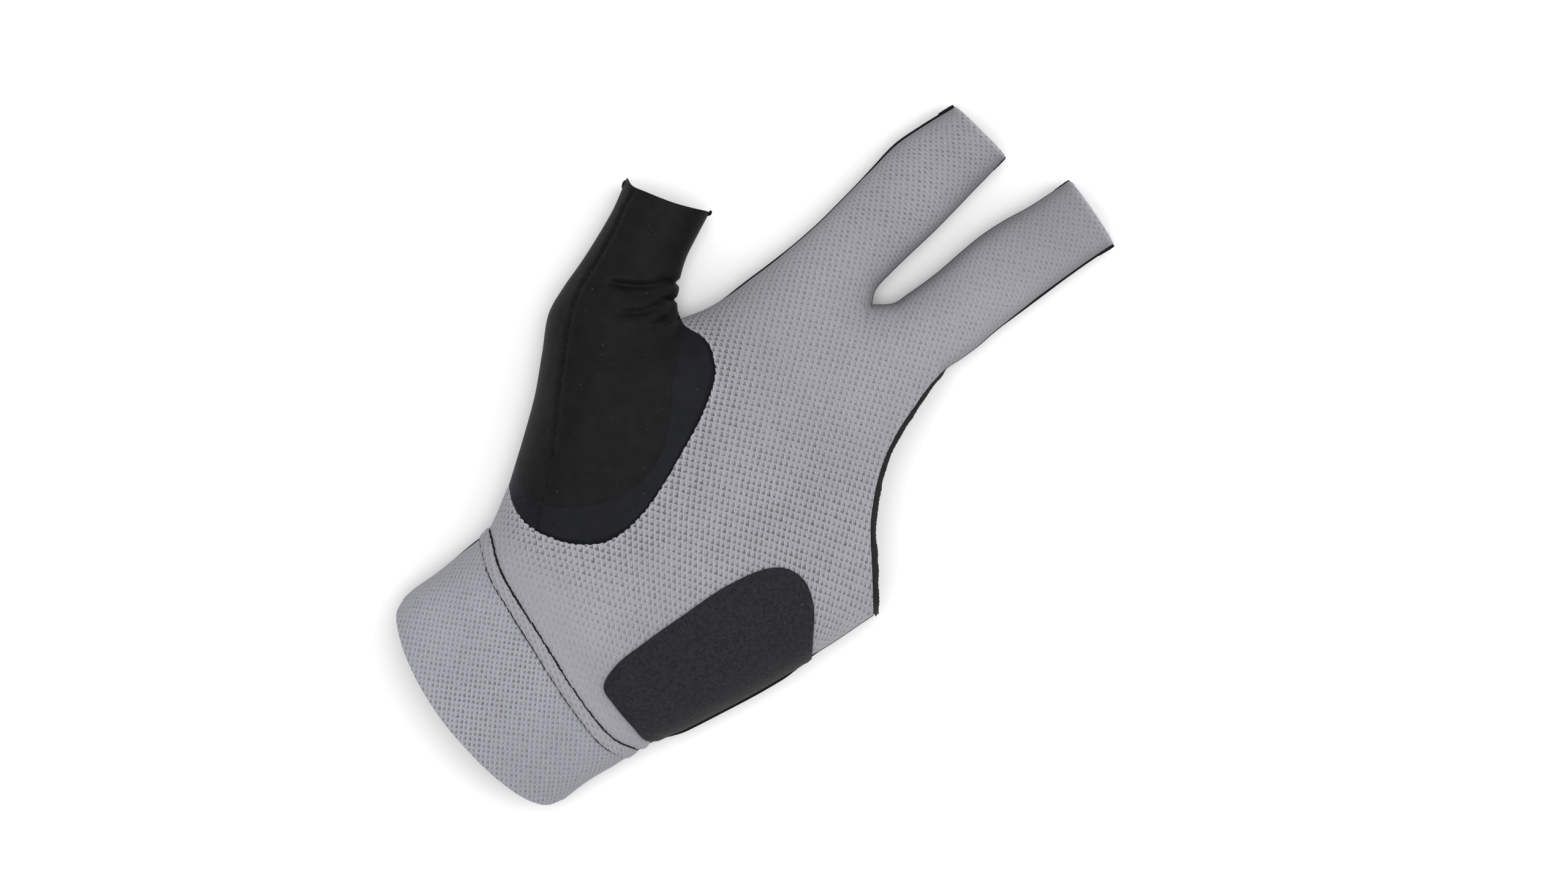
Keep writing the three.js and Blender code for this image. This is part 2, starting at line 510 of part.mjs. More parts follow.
const BELOW = -10; // the heights that cutters run between, clear of the glove
const ABOVE = 60;
const FAR = { left: -95, right: 90, below: -150, above: 140 }; // and how far out they reach
const THUMB_SPLIT = 9.4; // the side seams' height round the root of the thumb
const glove = new THREE.Group();
function place(name, geometry, material) {
  const mesh = new THREE.Mesh(geometry, material);
  mesh.name = name;
  glove.add(mesh);
}

const seamAllowance = (side, y) =>
  ({ thumb: SEAM_LIP, web: WEB_LIP, little: between(LEVELS, "y", y, "lip") })[side];
const palmSheet = handSheet({
  heightAt: topHeight, columns: HALF_COLUMNS.palm, edgeGap: GAP / 2, lip: () => 0,
});
const backSheet = flipped(handSheet({
  heightAt: underHeight, columns: HALF_COLUMNS.back, edgeGap: -GAP / 2, lip: seamAllowance,
}));
const palmCloth = solid(wallOf(palmSheet, -CLOTH, 0));
const backCloth = solid(wallOf(backSheet, -CLOTH, 0));

const wristLine = spline(WRIST_SEAM).getSpacedPoints(SEAM_STEPS.wrist);
const hemLine = spline(HEM).getSpacedPoints(SEAM_STEPS.hem);
const farBelow = [{ x: FAR.right, y: FAR.below }, { x: FAR.left, y: FAR.below }];
const farAbove = [{ x: FAR.right, y: FAR.above }, { x: FAR.left, y: FAR.above }];
const belowWrist = solid(prism([...shifted(wristLine, GAP / 2), ...farBelow], BELOW, ABOVE));
const aboveWrist = solid(prism([...shifted(wristLine, -GAP / 2), ...farAbove], BELOW, ABOVE));
const belowHem = solid(prism([...hemLine, ...farBelow], BELOW, ABOVE));

// Everything on the thumb's side of a seam round its root, moved towards the thumb by a distance. What is
// cut away with it also keeps its gap where the seam over the palm meets the one under the back.
function thumbSideOf(over, under, distance) {
  const reach = distance > 0 ? 0 : GAP;
  const { crotchX, crotchY, tip, rootX, rootY } = ROUND_THUMB;
  const round = [
    { x: crotchX - distance, y: crotchY }, { x: crotchX - distance, y: tip }, { x: FAR.left, y: tip },
    { x: FAR.left, y: rootY + distance }, { x: rootX, y: rootY + distance },
  ];
  const half = (table, low, high) =>
    solid(prism([...shifted(spline(table).getSpacedPoints(SEAM_STEPS.root), distance), ...round], low, high));
  return half(over, THUMB_SPLIT - reach, ABOVE).add(half(under, BELOW, THUMB_SPLIT + reach));
}
const pastRootSeam = (distance) => thumbSideOf(ROOT_SEAM, ROOT_SEAM_BACK, distance);
const pastSleeveEdge = (distance) => thumbSideOf(SLEEVE_EDGE, SLEEVE_EDGE_BACK, distance);

place("palm_panel", geometryOf(palmCloth.subtract(belowWrist).subtract(pastRootSeam(0))), greyMesh);
place("back_panel", geometryOf(backCloth.subtract(belowWrist).subtract(pastRootSeam(0))), blackLycra);
place("cuff_front", geometryOf(palmCloth.subtract(aboveWrist).subtract(belowHem)), greyMesh);
place("cuff_back", geometryOf(backCloth.subtract(aboveWrist).subtract(belowHem)), blackLycra);

const padOutline = prism(spline(HEEL_PAD, true).getSpacedPoints(SEAM_STEPS.pad), BELOW, ABOVE);
const padCloth = solid(wallOf(palmSheet, GAP, GAP + PAD));
place("heel_pad", geometryOf(padCloth.intersect(solid(padOutline))), blackSuede);

const bandOutline = prism([
  ...shifted(wristLine, SEAM_BAND.width / 2), ...shifted(wristLine, -SEAM_BAND.width / 2).reverse(),
], BELOW, ABOVE);
const bandCloth = solid(wallOf(palmSheet, GAP, GAP + SEAM_BAND.thick));
place("wrist_seam_band", geometryOf(bandCloth.intersect(solid(bandOutline))), greyMesh);

const thumbCloth = solid(wallOf(thumbSheet(), -CLOTH, 0));
const gusset = thumbCloth.intersect(pastRootSeam(GAP)).subtract(pastSleeveEdge(-GAP / 2));
place("thumb_gusset", geometryOf(gusset), navyLycra);
place("thumb_sleeve", geometryOf(thumbCloth.intersect(pastSleeveEdge(GAP / 2))), blackLycra);

// The two bindings stay apart where they run into the side seam
const clearOfSeam = BINDING.height / 2 + GAP;
const onPalm = (x, y) => Math.max(topHeight(x, y) - CLOTH / 2, level(x, y, "seam") + clearOfSeam);
const onBack = (x, y) =>
  Math.min(Math.max(underHeight(x, y) + CLOTH / 2, BINDING.height / 2), level(x, y, "seam") - clearOfSeam);
place("palm_binding", bindingAlong(onPalm), blackBinding);
place("back_binding", bindingAlong(onBack), blackBinding);

export default glove;
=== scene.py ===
# A three-finger billiard glove for the left hand, lying palm up on a pale table as if a hand still filled it.
#
# Sizes are millimetres until a mesh is made. +Y runs from the wrist to the fingertips, +X towards the
# little-finger side and +Z up out of the palm. Tables repeat the sizes of the solids.
import math

import bpy
import numpy as np
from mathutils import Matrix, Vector


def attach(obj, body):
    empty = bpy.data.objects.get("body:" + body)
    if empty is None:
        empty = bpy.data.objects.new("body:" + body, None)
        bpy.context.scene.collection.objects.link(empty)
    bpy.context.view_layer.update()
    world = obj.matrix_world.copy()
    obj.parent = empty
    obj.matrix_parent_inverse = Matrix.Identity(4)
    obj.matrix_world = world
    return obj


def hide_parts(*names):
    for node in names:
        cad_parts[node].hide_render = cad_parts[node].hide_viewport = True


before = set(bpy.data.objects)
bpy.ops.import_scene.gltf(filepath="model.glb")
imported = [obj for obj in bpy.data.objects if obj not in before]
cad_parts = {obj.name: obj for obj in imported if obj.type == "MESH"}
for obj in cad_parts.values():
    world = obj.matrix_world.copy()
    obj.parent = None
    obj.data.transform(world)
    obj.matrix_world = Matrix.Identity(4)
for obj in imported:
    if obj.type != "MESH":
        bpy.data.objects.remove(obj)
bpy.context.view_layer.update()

MM = 0.001
SEED = 7


def table(columns, *rows):
    """A table with named columns, each an array."""
    return {name: np.array([row[i] for row in rows], float) for i, name in enumerate(columns.split())}


# Walls, gaps, and how far the back's cloth stands out beyond the palm's where they are sewn together
CLOTH = 0.8
GAP = 0.3
SEWN_GAP = 0.04
WEB_LIP = 0.15
LITTLE_LIP = {"from": -84, "over": 8}
WRIST_LIP = {"y": -71, "out": 0.28, "reach": 4.5, "up_to": -40}
LEAST_LIP = 0.02
UNDER_ROLL = 8.0
PAD = 1.0
BAND_WIDTH = 3.2

# Sections of the hand, from below the hem up to the web between the fingers
HAND = table(
    "thumb_x thumb_y mid_x mid_y little_x little_y",
    (-25.0, -114, 9.0, -117, 41.5, -116),
    (-25.4, -100, 8.0, -104, 42.2, -103),
    (-25.6, -92, 8.5, -95, 43.2, -93.5),
    (-24.4, -84, 9.5, -86, 45.2, -85),
    (-23.6, -75.5, 11.0, -78.5, 46.0, -79.5),
    (-22.9, -67, 12.0, -71, 47.4, -72.5),
    (-24.6, -61.6, 13.0, -63, 50.2, -64.5),
    (-28.0, -53.6, 14.0, -54, 53.1, -55),
    (-31.0, -45, 14.5, -45, 56.0, -45),
    (-32.5, -35, 15.0, -34, 58.7, -34),
    (-33.0, -24, 15.0, -23, 61.5, -23),
    (-33.0, -12, 14.5, -12, 63.4, -12.5),
    (-32.0, -2, 13.5, -3, 64.2, -8.2),
    (-30.0, 4.5, 12.5, 5, 54.8, 0.2),
    (-27.6, 10.5, 11.5, 12, 46.2, 8.0),
    (-25.3, 16, 10.4, 19, 40.0, 16.0),
    (-23.8, 22, 9.2, 26, 35.9, 23.5),
    (-22.8, 30, 8.0, 33, 33.2, 31.5),
    (-21.8, 38, 6.8, 40, 31.7, 38.8),
    (-21.1, 45.5, 5.6, 45, 30.6, 45.5),
    (-20.8, 51, 4.6, 48.8, 30.6, 51.5),
)
THUMB_ROOT_ROW = 7
CORNER_ROW = 12
CROTCH_ROW = 14

# Sections of the two fingers, from the web to the open tips
INDEX = table(
    "left_x left_y right_x right_y",
    (-20.7, 55, 2.3, 52.6),
    (-20.8, 60, 1.9, 58.5),
    (-21.0, 67, 1.9, 66),
    (-21.4, 75, 2.0, 74),
    (-21.8, 82, 1.8, 82),
    (-21.2, 88.3, 1.5, 89.5),
    (-20.0, 94.5, 1.3, 96),
    (-18.4, 101.3, 1.0, 101.7),
)
MIDDLE = table(
    "left_x left_y right_x right_y",
    (8.4, 53.2, 31.4, 56),
    (9.4, 58, 32.1, 61.5),
    (10.6, 66.5, 32.4, 68),
    (11.1, 75, 33.3, 75.5),
    (11.7, 82.5, 34.3, 83),
    (13.0, 89.5, 35.4, 91),
    (15.3, 98, 36.6, 98.8),
    (17.4, 109.6, 38.0, 106.2),
)

# The thumb seen from above: its two sides, the seams round its root, the sleeve's edges and the mouth
THUMB_OUTER = [
    (-28.0, -53.6), (-31.2, -47.8), (-34.5, -41.9), (-40.3, -32.2), (-46.9, -23.2), (-53.4, -14.4),
    (-55.6, -7.0), (-57.1, 0.7), (-58.9, 8.3), (-61.4, 17.0), (-64.9, 25.4),
]
THUMB_INNER = [
    (-28.2, 9.5), (-30.4, 10.9), (-33.0, 13.4), (-35.7, 16.9), (-38.6, 22.0), (-40.6, 27.5), (-43.0, 34.9),
]
ROOT_SEAM = [
    (-28.0, -53.6), (-24.0, -56.1), (-18.8, -57.3), (-13.2, -56.4), (-5.0, -52.4), (0.7, -46.2),
    (2.7, -39.5), (2.3, -30.4), (-1.4, -16.2), (-5.9, -2.5), (-10.8, 6.2), (-14.3, 8.9), (-17.5, 10.4),
    (-20.8, 10.6), (-23.2, 9.9), (-25.2, 9.3), (-28.2, 9.5),
]
SLEEVE_EDGE = [
    (-31.2, -47.8), (-26.5, -50.3), (-21.5, -51.0), (-15.5, -49.0), (-9.5, -43.0), (-4.9, -34.1),
    (-4.2, -23.0), (-9.5, -11.6), (-17.3, -3.0), (-21.5, 3.6), (-26.0, 7.6), (-30.4, 10.9),
]
ROOT_SEAM_BACK = [
    (-28.0, -53.6), (-21.5, -51.5), (-14.0, -44.0), (-11.0, -30.0), (-12.5, -14.0), (-17.5, 0.0),
    (-23.0, 6.6), (-28.2, 9.5),
]
SLEEVE_EDGE_BACK = [
    (-31.2, -47.8), (-24.5, -45.6), (-19.0, -39.0), (-16.5, -29.0), (-18.5, -14.0), (-22.5, -1.5),
    (-26.6, 5.8), (-30.4, 10.9),
]
THUMB_MOUTH = [
    (-64.9, 25.4), (-62.4, 24.9), (-58.0, 26.5), (-51.2, 29.6), (-46.2, 32.6), (-43.0, 34.9),
]
THUMB_MOUTH_BACK = [(-64.9, 25.4), (-62.6, 24.1), (-57.6, 25.4), (-51.6, 28.4), (-46.2, 31.8), (-43.0, 34.9)]
THUMB_AXIS = {"mouth": (-53.4, 29.8), "root": (-18.0, -40.0)}
THUMB = {
    "rows": 250, "gusset_rows": 34, "over": 104, "under": 30, "edge_at": 0.075, "straight_after": 0.6,
    "crowding": 1.25, "calm_edge": 2,
}
# The seam sewn along the thumb sleeve, and its short end in the gusset
THUMB_SEAM = [
    (-60.6, 24.0), (-59.3, 19.3), (-56.8, 13.1), (-54.7, 6.5), (-52.7, -1.2), (-50.2, -7.4), (-46.5, -13.3),
    (-41.8, -19.2), (-36.8, -25.7), (-30.9, -32.3), (-25.4, -39.3), (-20.5, -45.9), (-18.6, -49.6),
]
GUSSET_JOIN = [(-17.9, -51.2), (-14.2, -55.6)]

# How thick the filled glove is, by y, and for the thumb by the distance from its mouth
LEVELS = table(
    "y seam top roll lip",
    (-118, 9.0, 21.0, 15.0, 0.5),
    (-92, 9.0, 22.0, 15.0, 0.4),
    (-76, 9.0, 23.0, 15.5, 0.5),
    (-65, 9.4, 24.6, 16.4, 2.0),
    (-38, 9.8, 25.5, 17.0, 2.0),
    (-24, 9.8, 25.5, 17.0, 0.15),
    (10, 9.2, 23.5, 16.0, 0.15),
    (35, 8.4, 20.5, 13.5, 0.2),
    (52, 8.0, 18.4, 11.6, 0.1),
    (75, 7.6, 17.2, 11.4, 0.25),
    (95, 7.6, 16.8, 11.0, 0.1),
    (114, 7.6, 16.6, 10.4, 0.1),
)
THUMB_LEVELS = table(
    "from seam top roll",
    (0, 8.4, 18.6, 11.2),
    (18, 8.6, 19.6, 12.0),
    (36, 9.4, 23.5, 15.0),
    (56, 9.8, 26.5, 17.5),
)
THUMB_BLEND = {"full": 34, "none": 58, "from_x": -14, "full_x": -30, "full_y": 32, "none_y": 44}
# The black cloth that shows along the outer sides of the index and middle finger, by y: how far it stands out
# beyond the seam, and how far within it the palm's cloth ends
OUTER_SIDES = table(
    "y index_out index_in middle_in",
    (19, 0.0, 0.0, 0.0),
    (27, 0.26, 0.15, 0.0),
    (38, 0.26, 0.15, 0.0),
    (45, 0.26, 0.0, 0.0),
    (69, 0.24, 0.0, 0.0),
    (76, 0.24, 0.2, 0.2),
    (83, 0.2, 0.38, 0.42),
    (91, -0.05, 0.64, 0.42),
    (110, -0.05, 0.6, 0.5),
)
DRAWN_IN = {"index_up_to": -10, "middle_from": 24, "reach": 2.2}
# Where the palm is fuller than its section, and where it is hollow
SWELLINGS = table(
    "x y radius rise",
    (-20, -26, 20, 3.6),
    (38, -44, 18, 1.4),
    (19, -8, 24, -2.4),
    (-5, 34, 12, 0.9),
    (20, 36, 12, 0.9),
)
# Folds at the thumb's crotch: three deep creases, a fine one, and a ridge, whose depth is negative. Each sets
# in over the start of its run.
CREASE_RUN = 5.0
CREASES = table(
    "from_x from_y mid_x mid_y to_x to_y depth width",
    (-49.4, 1.1, -41.1, 8.1, -35.6, 15.4, 2.0, 1.15),
    (-41.0, -2.2, -35.9, 3.7, -32.6, 12.0, 1.6, 1.15),
    (-42.0, 3.8, -38.8, 7.6, -35.4, 12.6, 0.5, 0.9),
    (-32.6, 2.2, -29.9, 6.8, -32.2, 11.4, 2.7, 1.2),
    (-38.0, 6.4, -35.6, 9.6, -33.6, 13.4, -0.7, 1.1),
)

# The wrist seam, the hem of the cuff and the outline of the patch on the heel of the hand, seen from above
WRIST_SEAM = [
    (-34.0, -62.0), (-22.8, -67.4), (-13.2, -72.2), (-4.0, -74.5), (8.0, -77.0), (20.0, -79.6),
    (30.0, -81.2), (38.0, -81.8), (44.0, -80.6), (56.0, -75.0),
]
HEM = [
    (-30.0, -90.0), (-25.7, -94.6), (-24.2, -98.4), (-18.0, -102.5), (-7.7, -106.5), (3.0, -108.9),
    (14.5, -109.8), (25.5, -109.5), (36.0, -107.5), (40.4, -105.0), (42.4, -101.0), (48.0, -95.0),
]
HEEL_PAD = [
    (26.3, -66.5), (28.2, -72.2), (34.0, -73.5), (41.0, -74.1), (45.2, -74.4), (47.2, -73.0), (50.0, -70.0),
    (60.0, -55.0), (64.0, -36.0), (61.6, -29.6), (56.3, -23.1), (50.6, -17.4), (44.7, -14.8), (39.4, -15.8),
    (35.6, -19.6), (31.4, -30.6), (29.1, -43.5), (27.1, -56.5),
]

# How the knit is stretched at some places: the step from hole to hole across and along, in the glove's frame
KNIT_PALM = table(
    "x y across_x across_y along_x along_y",
    (12.4, -9.2, 1.35, 0.58, 1.11, -1.52),
    (22.2, -41.3, 1.53, 0.60, 1.51, -1.39),
    (8.6, -50.7, 1.48, 0.76, 1.72, -1.26),
    (-1.6, -58.9, 1.09, 0.80, 1.82, -0.90),
    (37.8, -11.1, 1.43, 0.45, 1.00, -1.42),
    (30.4, 14.1, 0.95, 0.91, 0.86, -1.59),
    (17.5, 28.8, 0.96, 0.93, 0.73, -1.61),
    (25.4, 41.6, 0.92, 0.90, 0.64, -1.50),
    (-15.5, 13.3, 1.34, 0.69, 0.53, -1.16),
    (-15.8, 27.1, 1.18, 1.01, 0.52, -1.22),
    (-9.3, 37, 1.39, 0.97, 0.63, -1.17),
    (-12.9, 60.5, 1.22, 1.03, 1.07, -0.69),
    (-9.7, 92, 1.15, 1.03, 0.99, -0.64),
    (20.2, 71.4, 1.32, 0.78, 1.02, -1.26),
    (24, 94, 1.31, 0.72, 0.81, -1.19),
)
KNIT_CUFF = table(
    "x y across_x across_y along_x along_y",
    (6.0, -92, 1.01, 0.76, 1.02, -1.03),
    (-17.0, -91, 0.95, 0.60, 0.69, -1.24),
    (23.0, -101, 0.92, 0.87, 0.92, -0.96),
)


def smooth(v):
    v = np.clip(v, 0, 1)
    return v * v * (3 - 2 * v)


def past(places, start, over):
    """0 up to a place, 1 from a distance beyond it."""
    return smooth((places - start) / over)


def hump(distance, width):
    """A bell of height 1 that falls off with distance."""
    return np.exp(-((distance / width) ** 2))


def around(points, centre, radius):
    """A bell of height 1 round a place."""
    return np.exp(-((points - centre) ** 2).sum(1) / radius**2)


def swaying(places, turns, sway_turns, sway):
    """A wave whose crests come at uneven distances."""
    return np.sin(places * turns + np.sin(places * sway_turns) * sway)


def arc(q):
    """A quarter circle's rise from its edge."""
    return np.sqrt(np.maximum(0, 1 - (1 - np.clip(q, 0, 1)) ** 2))


def rows_between(rows, key, at, value):
    """Values that a table gives at places between its rows."""
    places, values = rows[key], rows[value]
    i = np.clip(np.searchsorted(places, at) - 1, 0, len(places) - 2)
    share = smooth((at - places[i]) / (places[i + 1] - places[i]))
    return values[i] + share * (values[i + 1] - values[i])


# Lines
POINTS_AT_ONCE = 2000


def rail(x, y, cuts):
    """An even curve through points, with the same number of steps between each two."""
    p = np.column_stack([x, y])
    q = np.concatenate([p[:1], p, p[-1:]])
    t = np.arange(cuts)[:, None] / cuts
    spans = []
    for a, b, c, d in zip(q, q[1:], q[2:], q[3:]):
        start, end = (c - a) / 2, (d - b) / 2
        cubed, squared = 2 * b - 2 * c + start + end, 3 * c - 3 * b - 2 * start - end
        spans.append(cubed * t**3 + squared * t**2 + start * t + b)
    return np.concatenate([*spans, p[-1:]])


def curve(points, steps=20, closed=False):
    """A rounded curve through points that stays close to them at uneven spacings."""
    p = np.asarray(points, float)
    q = np.concatenate([p[-1:], p, p[:2]] if closed else [2 * p[:1] - p[1:2], p, 2 * p[-1:] - p[-2:-1]])
    spans = []
    for a, b, c, d in zip(q, q[1:], q[2:], q[3:]):
        t1, t2, t3 = np.cumsum([np.linalg.norm(v) ** 0.5 for v in (b - a, c - b, d - c)])
        t = np.linspace(t1, t2, steps, endpoint=False)[:, None]
        ab, bc = a + (b - a) * t / t1, b + (c - b) * (t - t1) / (t2 - t1)
        cd = c + (d - c) * (t - t2) / (t3 - t2)
        abc, bcd = ab + (bc - ab) * t / t2, bc + (cd - bc) * (t - t1) / (t3 - t1)
        spans.append(abc + (bcd - abc) * (t - t1) / (t2 - t1))
    return np.concatenate(spans if closed else [*spans, p[-1:]])


def length_along(line):
    return np.concatenate([[0], np.cumsum(np.linalg.norm(np.diff(line, axis=0), axis=1))])


def at_lengths(line, places):
    """Points of a line at given distances along it."""
    along = length_along(line)
    return np.column_stack([np.interp(places, along, line[:, k]) for k in range(line.shape[1])])


def spaced(line, step):
    total = length_along(line)[-1]
    return at_lengths(line, np.linspace(0, total, max(2, round(total / step) + 1)))


def shifted(line, distance):
    """A line moved sideways, to its left for a positive distance."""
    tangent = np.gradient(line, axis=0)
    tangent /= np.linalg.norm(tangent, axis=1)[:, None]
    return line + np.column_stack([-tangent[:, 1], tangent[:, 0]]) * distance


def nearest(points, lines):
    """Distance from each point to the nearest line, and the place it reaches."""
    starts = np.concatenate([line[:-1] for line in lines])
    steps = np.concatenate([np.diff(line, axis=0) for line in lines])
    squares = np.maximum((steps**2).sum(1), 1e-12)
    distances, feet = [], []
    for chunk in np.array_split(points, max(1, len(points) // POINTS_AT_ONCE)):
        away = chunk[:, None] - starts
        share = np.clip((away * steps).sum(2) / squares, 0, 1)
        away -= share[..., None] * steps
        square = (away**2).sum(2)
        best = square.argmin(1)
        rows = np.arange(len(chunk))
        distances.append(np.sqrt(square[rows, best]))
        feet.append(chunk - away[rows, best])
    return np.concatenate(distances), np.concatenate(feet)


def inside(points, outline):
    """Which points lie within a closed outline."""
    x, y = points[:, 0], points[:, 1]
    result = np.zeros(len(points), bool)
    for (ax, ay), (bx, by) in zip(outline, np.roll(outline, -1, axis=0)):
        crosses = (ay > y) != (by > y)
        result ^= crosses & (x < ax + (y - ay) / (by - ay + 1e-12) * (bx - ax))
    return result


# The filled glove's shape
CUTS = 9
HAND_ROWS = (len(HAND["mid_x"]) - 1) * CUTS
ALL, LAST = slice(None), slice(-1, None)
TO_CORNER, FROM_CORNER = slice(CORNER_ROW + 1), slice(CORNER_ROW, None)


def rail_along(*parts):
    """An even curve through stretches of the tables' columns."""
    x = np.concatenate([rows[f"{name}_x"][stretch] for rows, name, stretch in parts])
    y = np.concatenate([rows[f"{name}_y"][stretch] for rows, name, stretch in parts])
    return rail(x, y, CUTS)


thumb_side = rail_along((HAND, "thumb", ALL), (INDEX, "left", ALL))
hand_middle = rail_along((HAND, "mid", ALL))
index_inner = rail_along((HAND, "mid", LAST), (INDEX, "right", ALL))
middle_inner = rail_along((HAND, "mid", LAST), (MIDDLE, "left", ALL))
below_opening = rail_along((HAND, "little", TO_CORNER))
above_corner = rail_along((HAND, "little", FROM_CORNER), (MIDDLE, "right", ALL))
little_side = np.concatenate([below_opening, above_corner[1:]])
finger_mouths = [np.array([thumb_side[-1], index_inner[-1]]), np.array([middle_inner[-1], little_side[-1]])]
thumb_outer = curve(THUMB_OUTER)
thumb_inner = curve(THUMB_INNER)

# Everything that is sewn shut, seen from above
SEWN = [
    np.concatenate([thumb_side[: THUMB_ROOT_ROW * CUTS + 1], thumb_outer]),
    np.concatenate([thumb_inner[::-1], thumb_side[CROTCH_ROW * CUTS :]]),
    np.concatenate([index_inner[::-1], middle_inner]),
    little_side[HAND_ROWS:],
    below_opening,
]


def level(points, value):
    """The hand's or the thumb's level at places, blended round the root of the thumb."""
    mouth, root = np.array(THUMB_AXIS["mouth"]), np.array(THUMB_AXIS["root"])
    axis = (root - mouth) / np.linalg.norm(root - mouth)
    away = (points - mouth) @ axis
    b = THUMB_BLEND
    outwards = smooth((points[:, 0] - b["from_x"]) / (b["full_x"] - b["from_x"]))
    outwards = outwards * smooth((b["none_y"] - points[:, 1]) / (b["none_y"] - b["full_y"]))
    share = outwards * smooth((b["none"] - away) / (b["none"] - b["full"]))
    hand = rows_between(LEVELS, "y", points[:, 1], value)
    return hand + share * (rows_between(THUMB_LEVELS, "from", away, value) - hand)


def relief(points):
    rise = np.zeros(len(points))
    for x, y, radius, height in zip(*SWELLINGS.values()):
        rise += height * around(points, (x, y), radius)
    for from_x, from_y, mid_x, mid_y, to_x, to_y, depth, width in zip(*CREASES.values()):
        line = curve([(from_x, from_y), (mid_x, mid_y), (to_x, to_y)], steps=8)
        away, feet = nearest(points, [line])
        deepens = smooth(np.linalg.norm(feet - line[0], axis=1) / CREASE_RUN)
        rise -= depth * deepens * hump(away, width)
    return rise


def top_height(points):
    edge, _ = nearest(points, SEWN)
    seam = level(points, "seam")
    return seam + arc(edge / level(points, "roll")) * (level(points, "top") - seam + relief(points))


def under_height(points):
    edge, _ = nearest(points, SEWN)
    return level(points, "seam") * (1 - arc(edge / UNDER_ROLL))


# Sheets of cloth. A sheet has points in plan, triangles, and the side of the glove that each edge point is
# sewn on, with the way outwards there.
THUMB_EDGE, WEB_EDGE, LITTLE_EDGE = 1, 2, 3
# Points that are this close to a cut are moved onto it
SNAP = 0.12


def grid_faces(rows, columns, start=0):
    corner = (np.arange(rows - 1)[:, None] * columns + np.arange(columns - 1)).ravel() + start
    right, up, both = corner + 1, corner + columns, corner + columns + 1
    return np.concatenate([np.column_stack([corner, right, both]), np.column_stack([corner, both, up])])


def ring_faces(rows, sides):
    """Triangles of a tube made of rings of points."""
    corner, place = np.arange(rows - 1)[:, None] * sides, np.arange(sides)
    a, b = (corner + place).ravel(), (corner + (place + 1) % sides).ravel()
    return np.concatenate([np.column_stack([a, b, b + sides]), np.column_stack([a, b + sides, a + sides])])


def hand_sheet(columns):
    """The hand and both fingers as one sheet. Its columns crowd towards the sewn edges."""
    u = np.linspace(0, 1, columns + 1)
    towards_left, towards_right = 1 - np.cos(u * math.pi / 2), np.sin(u * math.pi / 2)
    towards_both = (1 - np.cos(u * math.pi)) / 2
    row = np.arange(HAND_ROWS + 1)
    fingers = smooth((row - HAND_ROWS + 2 * CUTS) / (3 * CUTS))[:, None]
    sewn_rows = (row <= CORNER_ROW * CUTS) | (row >= HAND_ROWS)
    finger_rows = len(index_inner)
    every = np.ones(finger_rows, bool)
    blocks = [
        (thumb_side[: HAND_ROWS + 1], hand_middle, towards_left + fingers * (towards_both - towards_left),
         THUMB_EDGE * np.ones_like(row), np.where(row == HAND_ROWS, WEB_EDGE, 0)),
        (hand_middle, little_side[: HAND_ROWS + 1], towards_right + fingers * (towards_both - towards_right),
         np.where(row == HAND_ROWS, WEB_EDGE, 0), np.where(sewn_rows, LITTLE_EDGE, 0)),
        (thumb_side[HAND_ROWS:], index_inner, np.tile(towards_both, (finger_rows, 1)),
         THUMB_EDGE * every, WEB_EDGE * every),
        (middle_inner, little_side[HAND_ROWS:], np.tile(towards_both, (finger_rows, 1)),
         WEB_EDGE * every, LITTLE_EDGE * every),
    ]
    points, faces, sewn, outwards = [], [], [], []
    count = 0
    for left, right, spread, left_edge, right_edge in blocks:
        across = right - left
        block = left[:, None] + spread[..., None] * across[:, None]
        edge = np.zeros(block.shape[:2], int)
        edge[:, 0], edge[:, -1] = left_edge, right_edge
        way = np.zeros_like(block)
        unit = across / np.linalg.norm(across, axis=1)[:, None]
        way[:, 0], way[:, -1] = -unit, unit
        faces.append(grid_faces(len(block), columns + 1, count))
        points.append(block.reshape(-1, 2))
        sewn.append(edge.ravel())
        outwards.append(way.reshape(-1, 2))
        count += edge.size
    return merged({
        "plan": np.concatenate(points), "faces": np.concatenate(faces), "sewn": np.concatenate(sewn),
        "outwards": np.concatenate(outwards),
    })


def merged(sheet):
    """The sheet with points at the same place made one."""
    _, first, inverse = np.unique(np.round(sheet["plan"], 4), axis=0, return_index=True, return_inverse=True)
    inverse = inverse.ravel()
    faces = inverse[sheet["faces"]]
    faces = faces[(faces[:, 0] != faces[:, 1]) & (faces[:, 1] != faces[:, 2]) & (faces[:, 2] != faces[:, 0])]
    return {**{k: sheet[k][first] for k in ("plan", "sewn", "outwards")}, "faces": faces}


